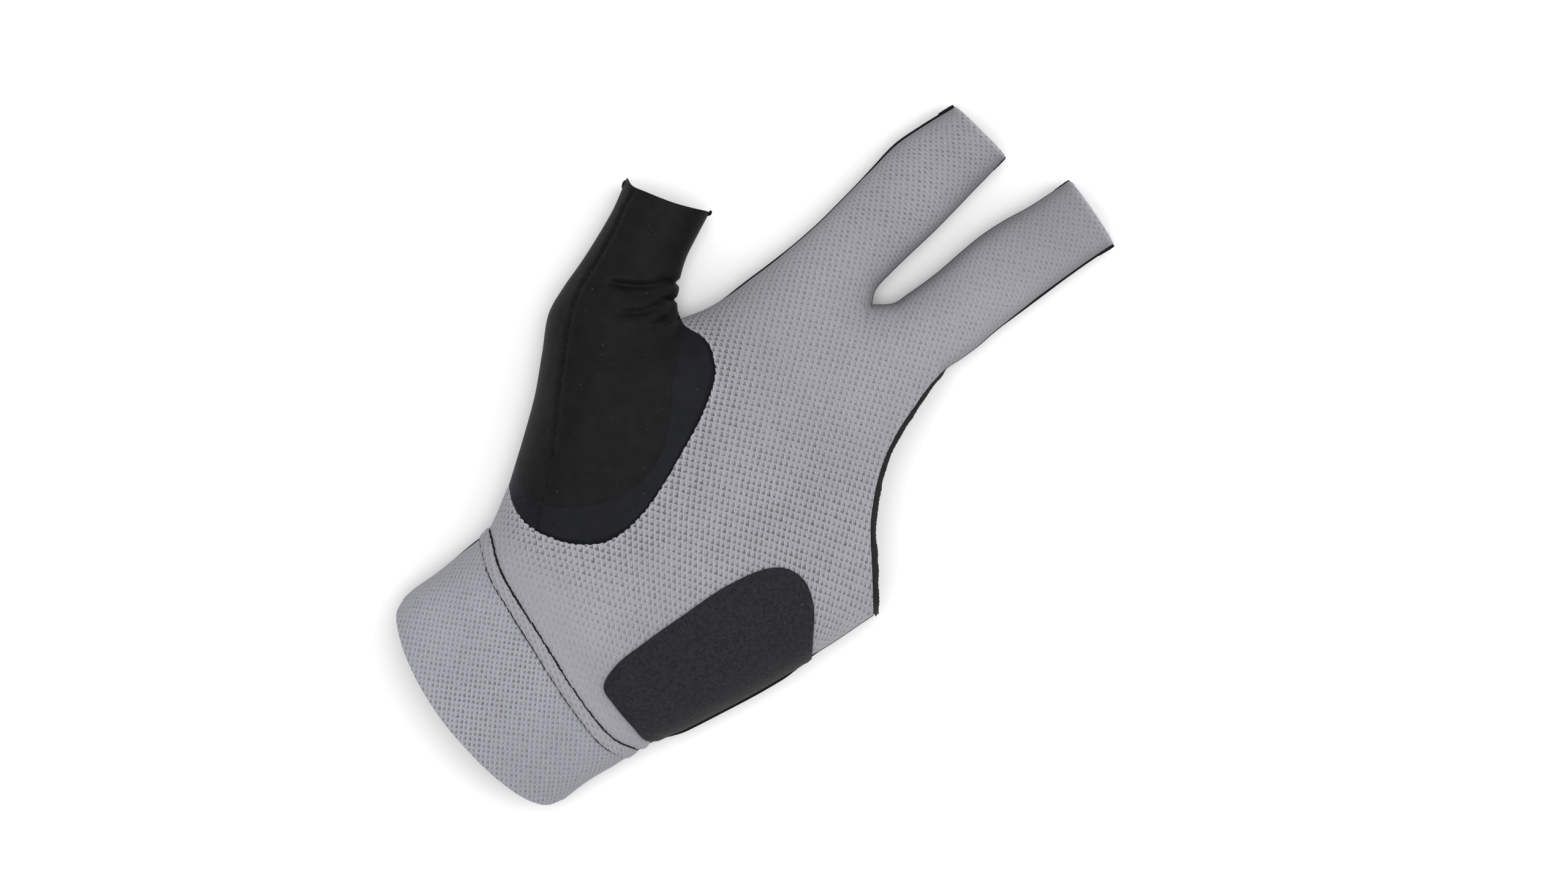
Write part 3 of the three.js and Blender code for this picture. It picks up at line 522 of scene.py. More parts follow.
def clipped(sheet, outline, keep_inside):
    """The part of a sheet inside or outside an outline, cut along it."""
    plan, faces = sheet["plan"].copy(), sheet["faces"]
    loop = np.concatenate([outline, outline[:1]])
    away, feet = nearest(plan, [loop])
    side = np.where(inside(plan, outline) == keep_inside, away, -away)
    near = away < SNAP
    plan[near], side[near] = feet[near], 0
    columns = {"plan": plan, "sewn": sheet["sewn"], "outwards": sheet["outwards"]}
    kept = faces[(side[faces].min(1) >= 0) & (side[faces].max(1) > 0)]
    mixed = faces[(side[faces].min(1) < 0) & (side[faces].max(1) > 0)]
    added = {key: [] for key in columns}
    cuts, new_faces = {}, []

    def cut(a, b):
        key = (min(a, b), max(a, b))
        if key not in cuts:
            share = side[a] / (side[a] - side[b])
            cuts[key] = len(plan) + len(cuts)
            added["plan"].append(plan[a] + share * (plan[b] - plan[a]))
            added["sewn"].append(sheet["sewn"][a] if sheet["sewn"][a] == sheet["sewn"][b] else 0)
            added["outwards"].append(sheet["outwards"][a])
        return cuts[key]

    for face in mixed:
        ring = []
        for a, b in zip(face, np.roll(face, -1)):
            if side[a] >= 0:
                ring.append(a)
            if side[a] * side[b] < 0:
                ring.append(cut(a, b))
        new_faces += [(ring[0], ring[k], ring[k + 1]) for k in range(1, len(ring) - 1)]
    if cuts:
        columns = {key: np.concatenate([values, np.array(added[key])]) for key, values in columns.items()}
    faces = np.concatenate([kept, np.array(new_faces, int).reshape(-1, 3)])
    used, inverse = np.unique(faces, return_inverse=True)
    return {**{key: values[used] for key, values in columns.items()}, "faces": inverse.reshape(-1, 3)}


def normals_of(points, faces, sewn):
    a, b, c = points[faces[:, 0]], points[faces[:, 1]], points[faces[:, 2]]
    face_normals = np.cross(b - a, c - a)
    normals = np.zeros_like(points)
    for k in range(3):
        np.add.at(normals, faces[:, k], face_normals)
    normals[sewn > 0, 2] = 0
    return normals / np.maximum(np.linalg.norm(normals, axis=1), 1e-9)[:, None]


def wall(points, faces, normals, inner, outer):
    """A closed wall of cloth between two distances from a surface, with the index of each point's source."""
    count = len(points)
    both = np.concatenate([points + normals * outer, points + normals * inner])
    edges = np.concatenate([faces[:, [0, 1]], faces[:, [1, 2]], faces[:, [2, 0]]])
    known = set(map(tuple, edges.tolist()))
    open_edges = np.array([(a, b) for a, b in known if (b, a) not in known])
    a, b = open_edges[:, 0], open_edges[:, 1]
    rims = np.concatenate([np.column_stack([b, a, a + count]), np.column_stack([b, a + count, b + count])])
    return both, np.concatenate([faces, faces[:, ::-1] + count, rims]), np.tile(np.arange(count), 2)


# Meshes and objects
def placed(name, data):
    obj = bpy.data.objects.new(name, data)
    bpy.context.collection.objects.link(obj)
    return obj


def add_mesh(name, points, faces, uv, material, sharp=50, **attributes):
    """A finished object from points in millimetres, with a UV map and point attributes."""
    mesh = bpy.data.meshes.new(name)
    mesh.vertices.add(len(points))
    mesh.vertices.foreach_set("co", (points * MM).astype(np.float32).ravel())
    mesh.loops.add(3 * len(faces))
    mesh.loops.foreach_set("vertex_index", faces.astype(np.int32).ravel())
    mesh.polygons.add(len(faces))
    mesh.polygons.foreach_set("loop_start", np.arange(0, 3 * len(faces), 3, dtype=np.int32))
    mesh.update(calc_edges=True)
    mesh.validate()
    mesh.polygons.foreach_set("use_smooth", np.ones(len(mesh.polygons), bool))
    mesh.set_sharp_from_angle(angle=math.radians(sharp))
    layer = mesh.uv_layers.new(name="Cloth")
    corners = np.empty(len(mesh.loops), np.int32)
    mesh.loops.foreach_get("vertex_index", corners)
    layer.data.foreach_set("uv", uv[corners].astype(np.float32).ravel())
    for key, values in attributes.items():
        mesh.attributes.new(key, "FLOAT", "POINT").data.foreach_set("value", values.astype(np.float32))
    mesh.materials.append(material)
    return placed(name, mesh)


def stands_for(obj, node):
    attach(obj, "root")
    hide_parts(node)
    return obj


def rides(obj):
    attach(obj, "root")
    return obj


# How the cloth lies flat: points near a sewn edge are moved outwards by the length that rolls down there, but
# not round the ends of the side opening
ROLL_STEPS = 60
CALM_ROUND_ENDS = 8.0


def flattened(points):
    edge, feet = nearest(points, SEWN)
    roll = level(points, "roll")
    rise = level(points, "top") - level(points, "seam")
    turn = np.linspace(0, math.pi / 2, ROLL_STEPS)
    share = 1 - np.cos(turn)
    steps = np.hypot(np.diff(share) * roll[:, None], np.diff(np.sin(turn)) * rise[:, None])
    lengths = np.concatenate([np.zeros((len(points), 1)), np.cumsum(steps, 1)], 1)
    q = np.clip(edge / roll, 0, 1)
    position = np.interp(q, share, np.arange(len(share)))
    low = np.clip(position.astype(int), 0, len(share) - 2)
    rows = np.arange(len(points))
    reached = lengths[rows, low] + (position - low) * (lengths[rows, low + 1] - lengths[rows, low])
    extra = (lengths[:, -1] - reached) - (1 - q) * roll
    away = feet - points
    unit = away / np.maximum(np.linalg.norm(away, axis=1), 1e-6)[:, None]
    for end in (little_side[CORNER_ROW * CUTS], little_side[HAND_ROWS]):
        extra *= 1 - around(points, end, CALM_ROUND_ENDS)
    return points + unit * extra[:, None]


# The knit's steps are carried over the glove by a cubic, which is held back from bending far
KNIT_SPAN = 100.0
HELD_BACK = {"all": 0.02, "slopes": 0.02, "bends": 0.25}


def knit_terms(points):
    """Terms of a cubic in x and y, and their slopes."""
    x, y = points[:, 0] / KNIT_SPAN, points[:, 1] / KNIT_SPAN
    powers = [(i, j) for i in range(4) for j in range(4) if 0 < i + j <= 3]
    value = np.column_stack([x**i * y**j for i, j in powers])
    slope_x = np.column_stack([i * x ** max(i - 1, 0) * y**j for i, j in powers]) / KNIT_SPAN
    slope_y = np.column_stack([j * x**i * y ** max(j - 1, 0) for i, j in powers]) / KNIT_SPAN
    weight = [HELD_BACK["slopes"] if i + j == 1 else HELD_BACK["bends"] * (i + j) for i, j in powers]
    return value, slope_x, slope_y, weight


def knit_cells(points, knit):
    """Each place's count of knit cells across and along, from the steps in a table."""
    places = np.column_stack([knit["x"], knit["y"]])
    _, slope_x, slope_y, weight = knit_terms(places)
    across = slope_x * knit["across_x"][:, None] + slope_y * knit["across_y"][:, None]
    along = slope_x * knit["along_x"][:, None] + slope_y * knit["along_y"][:, None]
    system = np.concatenate([across, along, np.diag(weight) * HELD_BACK["all"]])
    value = knit_terms(points)[0]
    counts = [len(places), len(places), len(weight)]
    cells = []
    for step_across, step_along in ((1, 0), (0, 1)):
        target = np.repeat([step_across, step_along, 0.0], counts)
        cells.append(value @ np.linalg.lstsq(system, target, rcond=None)[0])
    return np.column_stack(cells)


# Shader nodes
class Shader:
    """A node tree with short calls for its nodes."""

    def __init__(self, nodes_of):
        self.tree = nodes_of
        self.nodes = nodes_of.nodes
        self.links = nodes_of.links

    def put(self, target, value):
        if isinstance(value, bpy.types.NodeSocket):
            self.links.new(value, target)
        elif value is not None:
            target.default_value = value

    def node(self, kind, output=0, inputs=(), **settings):
        made = self.nodes.new(kind)
        for key, value in settings.items():
            setattr(made, key, value)
        for key, value in dict(inputs).items():
            self.put(made.inputs[key], value)
        return made.outputs[output]

    def math(self, operation, a, b=None):
        return self.node("ShaderNodeMath", 0, {0: a, 1: b}, operation=operation)

    def vector(self, operation, a, b=None, c=None):
        return self.node("ShaderNodeVectorMath", 0, {0: a, 1: b, 2: c}, operation=operation)

    def scaled(self, vector, factor):
        return self.node("ShaderNodeVectorMath", 0, {0: vector, "Scale": factor}, operation="SCALE")

    def ramp(self, value, low, high, to_low=0.0, to_high=1.0):
        return self.node("ShaderNodeMapRange", 0, {0: value, 1: low, 2: high, 3: to_low, 4: to_high},
                         interpolation_type="SMOOTHSTEP")

    def mix(self, share, a, b):
        made = self.nodes.new("ShaderNodeMix")
        made.data_type = "RGBA"
        for target, value in ((made.inputs[0], share), (made.inputs[6], a), (made.inputs[7], b)):
            self.put(target, value)
        return made.outputs[2]

    def noise(self, vector, scale, detail=2.0, roughness=0.5, output=0):
        inputs = {"Vector": vector, "Scale": scale, "Detail": detail, "Roughness": roughness}
        return self.node("ShaderNodeTexNoise", output, inputs)


def shader_group(name, inputs, outputs):
    """A shader group with its input and output nodes. Inputs are numbers, or a vector where none is given."""
    group = bpy.data.node_groups.new(name, "ShaderNodeTree")
    for socket, value in inputs.items():
        kind = "NodeSocketVector" if value is None else "NodeSocketFloat"
        made = group.interface.new_socket(socket, in_out="INPUT", socket_type=kind)
        if value is not None:
            made.default_value = value
    for socket in outputs:
        group.interface.new_socket(socket, in_out="OUTPUT", socket_type="NodeSocketFloat")
    s = Shader(group)
    return s, s.nodes.new("NodeGroupInput").outputs, s.nodes.new("NodeGroupOutput").inputs


# The strokes that draw a hole of the knit, in shares of its cell: a stroke's middle, how far from it the
# stroke is full, and where it ends
UPRIGHT = {"x": (0.17, 0.01, 0.18), "y": (-0.05, 0.12, 0.36)}
FOOT = {"x": (-0.01, 0.12, 0.34), "y": (0.20, 0.02, 0.19)}
ROUND_HOLE = {"x": 0.02, "y": 0.04, "slant": 0.12, "full": 0.03, "ends": 0.36}
YARN_BAR = {"x": 0.41, "full": 0.02, "ends": 0.17, "gap": 0.22, "whole": 0.5}
KNIT_WANDER = {"scale": 0.8, "reach": 0.42}


def open_knit_group():
    """Knitted mesh. Each cell has a soft hole, hooked like a J or nearly round, and a raised bar of yarn
    beside it, on which the mesh's colour paints a highlight."""
    inputs = {"Cells": None, "Size": 1.0, "Round": 0.0, "Lean": 0.35}
    s, given, out = shader_group("Open knit", inputs, ("Hole", "Bar", "Chance"))
    wander = s.noise(given["Cells"], KNIT_WANDER["scale"], output="Color")
    wander = s.scaled(s.vector("SUBTRACT", wander, (0.5, 0.5, 0.5)), KNIT_WANDER["reach"])
    moved = s.vector("ADD", given["Cells"], wander)
    home = s.vector("FLOOR", moved)
    place = s.vector("SUBTRACT", s.vector("FRACTION", moved), (0.5, 0.5, 0.0))
    chance = s.nodes.new("ShaderNodeTexWhiteNoise")
    chance.noise_dimensions = "2D"
    s.put(chance.inputs["Vector"], home)
    dice = s.nodes.new("ShaderNodeSeparateColor")
    s.put(dice.inputs[0], chance.outputs["Color"])
    split = s.nodes.new("ShaderNodeSeparateXYZ")
    s.put(split.inputs[0], place)
    y = split.outputs[1]
    x = s.math("SUBTRACT", split.outputs[0], s.math("MULTIPLY", y, given["Lean"]))
    size = s.math("MULTIPLY", given["Size"], s.ramp(chance.outputs["Value"], 0, 1, 0.88, 1.12))

    def off(value, centre):
        return s.math("DIVIDE", s.math("ABSOLUTE", s.math("SUBTRACT", value, centre)), size)

    def across(value, centre, full, ends):
        return s.ramp(off(value, centre), full, ends, 1, 0)

    def stroke(sizes, cast, least, most):
        """A stroke, as strong as the dice of its cell say."""
        shape = s.math("MULTIPLY", across(x, *sizes["x"]), across(y, *sizes["y"]))
        return s.math("MULTIPLY", shape, s.ramp(cast, 0, 1, least, most))

    upright = stroke(UPRIGHT, dice.outputs[0], 0.5, 0.85)
    foot = stroke(FOOT, dice.outputs[1], 0.75, 1.0)
    slant = s.math("SUBTRACT", off(x, ROUND_HOLE["x"]), s.math("MULTIPLY", y, ROUND_HOLE["slant"]))
    squares = [s.math("POWER", value, 2.0) for value in (slant, off(y, ROUND_HOLE["y"]))]
    away = s.math("SQRT", s.math("ADD", *squares))
    spot = s.ramp(away, ROUND_HOLE["full"], ROUND_HOLE["ends"], 1, 0)
    spot = s.math("MULTIPLY", spot, s.ramp(dice.outputs[0], 0, 1, 0.6, 1.0))
    round_part = s.math("MULTIPLY", spot, given["Round"])
    hooked = s.math("MAXIMUM", upright, foot)
    hooked_part = s.math("MULTIPLY", hooked, s.math("SUBTRACT", 1.0, given["Round"]))
    s.put(out["Hole"], s.math("ADD", round_part, hooked_part))
    # The bar of yarn beside each hole: raised in the mesh's bump, and a painted highlight in its colour
    from_bar = s.math("PINGPONG", s.math("SUBTRACT", x, YARN_BAR["x"]), 0.5)
    bar = s.ramp(from_bar, YARN_BAR["full"], YARN_BAR["ends"], 1, 0)
    clear = s.ramp(s.math("ABSOLUTE", y), YARN_BAR["gap"], YARN_BAR["whole"], 1, 0)
    s.put(out["Bar"], s.math("MULTIPLY", bar, clear))
    s.put(out["Chance"], dice.outputs[2])
    return s.tree


def fibre_group():
    """Fine fibres and soft mottling of a cloth, on its own coordinates in metres."""
    inputs = {"Place": None, "Fine": 5000.0, "Broad": 120.0}
    s, given, out = shader_group("Cloth fibres", inputs, ("Fibre", "Mottle"))
    s.put(out["Fibre"], s.noise(given["Place"], given["Fine"], 3.0, 0.65))
    s.put(out["Mottle"], s.noise(given["Place"], given["Broad"], 3.0, 0.55))
    return s.tree


def lint_group():
    """Sparse pale specks caught on dark cloth."""
    inputs = {"Place": None, "Scale": 260.0, "Share": 0.06}
    s, given, out = shader_group("Lint specks", inputs, ("Speck",))
    cell = s.nodes.new("ShaderNodeTexVoronoi")
    cell.feature = "F1"
    s.put(cell.inputs["Vector"], given["Place"])
    s.put(cell.inputs["Scale"], given["Scale"])
    dice = s.nodes.new("ShaderNodeSeparateColor")
    s.put(dice.inputs[0], cell.outputs["Color"])
    chosen = s.math("LESS_THAN", dice.outputs[0], given["Share"])
    bright = s.math("POWER", dice.outputs[1], 3.0)
    speck = s.math("MULTIPLY", s.ramp(cell.outputs["Distance"], 0.03, 0.12, 1.0, 0.0), chosen)
    s.put(out["Speck"], s.math("MULTIPLY", speck, s.math("ADD", s.math("MULTIPLY", bright, 0.85), 0.15)))
    return s.tree


OPEN_KNIT = open_knit_group()
FIBRES = fibre_group()
LINT = lint_group()


def start_material(name, specular, roughness=0.5, sheen=0.0, sheen_roughness=0.5):
    """A material with its shader's even values set, and the shader's inputs for the rest."""
    material = bpy.data.materials.new(name)
    material.use_nodes = True
    s = Shader(material.node_tree)
    shader = s.nodes["Principled BSDF"].inputs
    shader["Specular IOR Level"].default_value = specular
    shader["Roughness"].default_value = roughness
    shader["Sheen Weight"].default_value = sheen
    shader["Sheen Roughness"].default_value = sheen_roughness
    return material, s, shader


def use(s, group, **inputs):
    node = s.nodes.new("ShaderNodeGroup")
    node.node_tree = group
    for key, value in inputs.items():
        s.put(node.inputs[key], value)
    return node.outputs


def bump(s, height, distance, strength):
    return s.node("ShaderNodeBump", 0, {"Height": height, "Distance": distance, "Strength": strength})


def grey(value):
    return (value, value, value, 1.0)


def mesh_cloth_material(name, light, bar):
    """Pale grey knitted mesh, on a UV map that counts its cells."""
    material, s, shader = start_material(name, specular=0.15, roughness=0.88, sheen=0.06)
    cells = s.node("ShaderNodeUVMap", uv_map="Cloth")
    place = s.node("ShaderNodeTexCoord", "Object")
    openness, roundness, shade, lean = [
        s.node("ShaderNodeAttribute", "Fac", attribute_name=look)
        for look in ("openness", "roundness", "shade", "lean")
    ]
    size = s.ramp(openness, 0.1, 1.3, 0.75, 1.2)
    knit = use(s, OPEN_KNIT, Cells=cells, Size=size, Round=roundness, Lean=lean)
    fibres = use(s, FIBRES, Place=place, Fine=4200.0, Broad=45.0)
    strokes = {"Vector": cells, "Rotation": (0, 0, 0.35), "Scale": (7.5, 2.2, 1.0)}
    yarn = s.noise(s.node("ShaderNodeMapping", 0, strokes), 1.0)
    # Painted highlight along each raised bar of yarn, stronger where the knit is open
    rib_highlights = s.math("MULTIPLY", knit["Bar"], s.ramp(openness, 0.3, 0.9, 0.3 * bar, bar))
    tone = s.math("ADD", rib_highlights, shade)
    for fine in (fibres["Fibre"], yarn):
        tone = s.math("ADD", tone, s.ramp(fine, 0.3, 0.7, -0.09, 0.09))
    tone = s.math("MULTIPLY", tone, s.ramp(fibres["Mottle"], 0.25, 0.75, 0.955, 1.045))
    deep = s.mix(s.ramp(knit["Chance"], 0.55, 0.95), (0.070, 0.070, 0.077, 1), (0.083, 0.071, 0.053, 1))
    depth = s.math("MULTIPLY", knit["Hole"], s.ramp(openness, 0.1, 1.25, 0.2, 1.0))
    s.put(shader["Base Color"], s.mix(depth, s.scaled(light, tone), deep))
    holes = s.math("MULTIPLY", knit["Hole"], openness)
    height = s.math("SUBTRACT", s.math("MULTIPLY", knit["Bar"], 0.4), holes)
    height = s.math("ADD", height, s.math("MULTIPLY", s.math("ADD", fibres["Fibre"], yarn), 0.35))
    s.put(shader["Normal"], bump(s, height, 0.00022, 0.8))
    return material


def dark_cloth_material(
    name, dark, pale, speck_share, roughness=0.62, sheen=0.02, weave=0.6, grain=3600.0, mottle=260.0,
):
    """Near-black stretch cloth or suede, with fine grain, soft mottling and a little lint."""
    material, s, shader = start_material(name, specular=0.11, sheen=sheen, sheen_roughness=0.45)
    place = s.node("ShaderNodeTexCoord", "Object")
    fibres = use(s, FIBRES, Place=place, Fine=grain, Broad=mottle)
    lint = use(s, LINT, Place=place, Scale=620.0, Share=speck_share)
    body = s.mix(s.ramp(fibres["Mottle"], 0.3, 0.7), (*dark, 1), (*pale, 1))
    body = s.mix(s.ramp(fibres["Fibre"], 0.3, 0.8, 0.0, 0.7), body, (*[2.1 * c for c in pale], 1))
    s.put(shader["Base Color"], s.mix(lint["Speck"], body, grey(0.12)))
    s.put(shader["Roughness"], s.ramp(fibres["Fibre"], 0.3, 0.7, roughness - 0.07, roughness + 0.08))
    s.put(shader["Normal"], bump(s, fibres["Fibre"], 0.00012, weave))
    return material


def thread_material(name, colour, roughness=0.6):
    material, s, shader = start_material(name, specular=0.1, roughness=roughness)
    place = s.node("ShaderNodeTexCoord", "Object")
    fibres = use(s, FIBRES, Place=place, Fine=6500.0, Broad=900.0)
    body = s.mix(s.ramp(fibres["Mottle"], 0.3, 0.7), (*colour, 1), (*[1.5 * c for c in colour], 1))
    s.put(shader["Base Color"], body)
    s.put(shader["Normal"], bump(s, fibres["Fibre"], 0.00008, 0.7))
    return material


# bar is the strength of the painted highlight along the bars of yarn
grey_mesh = mesh_cloth_material("grey_knitted_mesh", (0.267, 0.267, 0.290), bar=0.26)
cuff_mesh = mesh_cloth_material("grey_knitted_mesh_of_the_cuff", (0.264, 0.267, 0.297), bar=0.28)
black_lycra = dark_cloth_material(
    "black_stretch_cloth", (0.0014, 0.0014, 0.0014), (0.0044, 0.0045, 0.0051), speck_share=0.42, sheen=0.0,
)
navy_lycra = dark_cloth_material(
    "navy_black_stretch_cloth", (0.0026, 0.0029, 0.0042), (0.0052, 0.0056, 0.0078), speck_share=0.35,
)
suede = dark_cloth_material(
    "black_suede", (0.0070, 0.0070, 0.0081), (0.0162, 0.0158, 0.0176), speck_share=0.5, roughness=0.92,
    sheen=0.05, weave=1.0, grain=2300.0, mottle=950.0,
)
black_edging = dark_cloth_material(
    "black_overlocked_edging", (0.0075, 0.0075, 0.0075), (0.014, 0.014, 0.0145), speck_share=0.02,
    roughness=0.85, sheen=0.03,
)
black_thread = thread_material("black_thread", (0.0035, 0.0035, 0.0035))
suede_thread = thread_material("suede_coloured_thread", (0.0085, 0.0085, 0.0095), 0.8)
grey_fibre = thread_material("pale_grey_fibre", (0.24, 0.24, 0.26), 0.9)
pale_fibre = thread_material("pale_cut_fibre", (0.42, 0.42, 0.44), 0.9)


# Geometry nodes
def thread_tree():
    """Short lengths of thread set along a line, in line with it or turned across it."""
    group = bpy.data.node_groups.new("Threads along a line", "GeometryNodeTree")
    group.interface.new_socket("Geometry", in_out="INPUT", socket_type="NodeSocketGeometry")
    for name, value in {
        "Pitch": 0.002, "Length": 0.0017, "Thickness": 0.0004, "Flatness": 0.8, "Turn": 0.0, "Zigzag": 0.0,
        "Scatter": 0.05, "Wander": 0.00005, "Uneven": 0.1,
    }.items():
        group.interface.new_socket(name, in_out="INPUT", socket_type="NodeSocketFloat").default_value = value
    group.interface.new_socket("Seed", in_out="INPUT", socket_type="NodeSocketInt")
    group.interface.new_socket("Material", in_out="INPUT", socket_type="NodeSocketMaterial")
    group.interface.new_socket("Geometry", in_out="OUTPUT", socket_type="NodeSocketGeometry")
    s = Shader(group)
    given = s.nodes.new("NodeGroupInput").outputs

    def random(offset):
        """An even chance between -1 and 1 on each axis."""
        made = s.nodes.new("FunctionNodeRandomValue")
        made.data_type = "FLOAT_VECTOR"
        made.inputs[0].default_value, made.inputs[1].default_value = (-1, -1, -1), (1, 1, 1)
        s.put(made.inputs["Seed"], s.math("ADD", given["Seed"], offset))
        return made.outputs[0]

    def joined(*values):
        made = s.nodes.new("ShaderNodeCombineXYZ")
        for k, value in enumerate(values):
            s.put(made.inputs[k], value)
        return made.outputs[0]

    line = s.node("GeometryNodeMeshToCurve", 0, {0: given["Geometry"]})
    along = s.nodes.new("GeometryNodeCurveToPoints")
    along.mode = "LENGTH"
    s.put(along.inputs["Curve"], line)
    s.put(along.inputs["Length"], given["Pitch"])
    parity = s.math("MODULO", s.node("GeometryNodeInputIndex"), 2.0)
    flip = s.math("SUBTRACT", 1.0, s.math("MULTIPLY", s.math("MULTIPLY", parity, 2.0), given["Zigzag"]))
    angle = s.math("MULTIPLY", given["Turn"], flip)
    tangent = along.outputs["Tangent"]
    side = s.vector("CROSS_PRODUCT", tangent, (0, 0, 1))
    forwards, sideways = s.scaled(tangent, s.math("COSINE", angle)), s.scaled(side, s.math("SINE", angle))
    way = s.vector("ADD", s.vector("ADD", forwards, sideways), s.scaled(random(1.0), given["Scatter"]))
    turned = s.node("FunctionNodeAlignRotationToVector", 0, {"Vector": way}, axis="Z")
    offset = s.scaled(random(2.0), given["Wander"])
    moved = s.node("GeometryNodeSetPosition", 0, {"Geometry": along.outputs["Points"], "Offset": offset})
    bead = s.node("GeometryNodeMeshUVSphere", 0, {"Segments": 6, "Rings": 5, "Radius": 0.5})
    width = s.math("MULTIPLY", given["Thickness"], given["Flatness"])
    spread = joined(given["Uneven"], given["Uneven"], given["Uneven"])
    uneven = s.vector("MULTIPLY_ADD", random(3.0), spread, (1, 1, 1))
    size = s.vector("MULTIPLY", joined(width, given["Thickness"], given["Length"]), uneven)
    beads = s.node("GeometryNodeInstanceOnPoints", 0, {
        "Points": moved, "Instance": bead, "Rotation": turned, "Scale": size})
    real = s.node("GeometryNodeRealizeInstances", 0, {0: beads})
    soft = s.node("GeometryNodeSetShadeSmooth", 0, {0: real})
    done = s.node("GeometryNodeSetMaterial", 0, {"Geometry": soft, "Material": given["Material"]})
    s.put(s.nodes.new("NodeGroupOutput").inputs[0], done)
    return group


THREADS = thread_tree()


def threads(name, lines, material, slot, **sizes):
    """Threads along lines of points in millimetres, as one plain mesh. Sizes are millimetres too."""
    points, edges, count = [], [], 0
    for line in lines:
        points.append(line)
        edges += [(count + k, count + k + 1) for k in range(len(line) - 1)]
        count += len(line)
    mesh = bpy.data.meshes.new(name)
    mesh.from_pydata((np.concatenate(points) * MM).tolist(), edges, [])
    obj = placed(name, mesh)
    modifier = obj.modifiers.new("Threads", "NODES")
    modifier.node_group = THREADS
    sockets = {item.name: item.identifier for item in THREADS.interface.items_tree if item.in_out == "INPUT"}
    lengths = ("pitch", "length", "thickness", "wander")
    for key, value in sizes.items():
        modifier[sockets[key.capitalize()]] = value * MM if key in lengths else value
    modifier[sockets["Seed"]] = SEED
    modifier[sockets["Material"]] = material
    made = bpy.data.meshes.new_from_object(obj.evaluated_get(bpy.context.evaluated_depsgraph_get()))
    obj.modifiers.remove(modifier)
    obj.data = made
    return rides(obj)


# The palm, its fingers, the back and the cuff
FAR = {"left": -95.0, "right": 90.0, "below": -150.0}
COLUMNS = {"palm": 40, "back": 26, "band": 90}
CUT_STEP = 0.5
FINE_CUT_STEP = 0.25
THREAD_STEP = 0.4
FINE_THREAD_STEP = 0.3
wrist_line = spaced(curve(WRIST_SEAM), CUT_STEP)
hem_line = spaced(curve(HEM), CUT_STEP)
far_below = np.array([(FAR["right"], FAR["below"]), (FAR["left"], FAR["below"])])
root_seam = spaced(curve(ROOT_SEAM), FINE_CUT_STEP)
root_seam_back = spaced(curve(ROOT_SEAM_BACK), CUT_STEP)
ROUND_THUMB = np.array([(-28.9, 12.0), (-28.9, 60.0), (-95.0, 60.0), (-95.0, -57.0), (-40.0, -57.0)])
SCALLOP = {"pitch": 1.85, "depth": 0.42, "sunk": 0.6, "starts_over": 6, "ends_over": 12}


def scalloped(seam):
    """A seam moved sideways in lobes that fade out at its ends."""
    along = length_along(seam)
    fade = smooth(along / SCALLOP["starts_over"]) * smooth((along[-1] - along) / SCALLOP["ends_over"])
    lobes = np.abs(np.sin(math.pi * along / SCALLOP["pitch"])) - SCALLOP["sunk"]
    return shifted(seam, (SCALLOP["depth"] * lobes * fade)[:, None])


below_wrist = np.concatenate([wrist_line, far_below])
below_hem = np.concatenate([hem_line, far_below])
thumb_of_palm = np.concatenate([scalloped(root_seam), ROUND_THUMB])
thumb_of_back = np.concatenate([root_seam_back, ROUND_THUMB])

# How open, how shaded and how round the knit is, and from where and over how far each of them changes
OPEN = {
    "plain": 0.66, "round_thumb": 0.38, "thumb_reach": 9, "in_palm": 0.42, "palm_place": (32, -12),
    "palm_reach": 32, "index_less": -0.08, "middle_less": 0.18, "finger_from": 52, "finger_over": 16,
    "wrist_less": 0.52, "wrist_from": 3, "wrist_reach": 11, "thumb_spared": 0.8, "spared_reach": 6,
    "at_seam": 0.85, "seam_over": 5,
}
# The allowance terms darken the mesh beside the fingers' sewn edges: painted shade, together with the black
# seam allowance under it
SHADE = {
    "cut_ends": 0.3, "mouth_reach": 0.75, "root_share": 0.5, "root_reach": 0.5, "allowance": 0.22,
    "allowance_reach": 1.6, "allowance_from": 30, "allowance_over": 20, "fingers": 0.075, "finger_from": 48,
    "finger_over": 18, "tips": 0.07, "middle_tip": 0.04, "tip_from": 76, "tip_over": 20,
}
SHADED_SPOTS = (((6, -32), 12, 0.045), ((-12, 30), 32, 0.10))
ROUND = {"from": 42, "over": 22}
LEAN = {"y": (-60, -10, 15), "lean": (-0.2, 0.3, 0.5)}
CUFF = {
    "shade": 1.02, "darker": 0.09, "dark_from": 16, "dark_over": 18,
    "open": 0.70, "opener": 0.28, "open_at": 8, "open_reach": 14,
}
TO_MIDDLE = {"from": 2, "over": 8}


def knit_openness(points):
    """How open the mesh is stretched: widest round the thumb's root, closed up beside the wrist seam and the
    sewn edges."""
    to_root, to_wrist, to_seam = [nearest(points, lines)[0] for lines in ([root_seam], [wrist_line], SEWN)]
    middle = past(points[:, 0], TO_MIDDLE["from"], TO_MIDDLE["over"])
    opened = OPEN["plain"] + OPEN["round_thumb"] * hump(to_root, OPEN["thumb_reach"])
    opened += OPEN["in_palm"] * around(points, OPEN["palm_place"], OPEN["palm_reach"])
    less = OPEN["middle_less"] * middle + OPEN["index_less"]
    opened -= less * past(points[:, 1], OPEN["finger_from"], OPEN["finger_over"])
    near_wrist = hump(np.maximum(to_wrist - OPEN["wrist_from"], 0), OPEN["wrist_reach"])
    away_from_thumb = 1 - OPEN["thumb_spared"] * hump(to_root, OPEN["spared_reach"])
    opened -= OPEN["wrist_less"] * near_wrist * away_from_thumb
    return opened * (OPEN["at_seam"] + (1 - OPEN["at_seam"]) * smooth(to_seam / OPEN["seam_over"]))


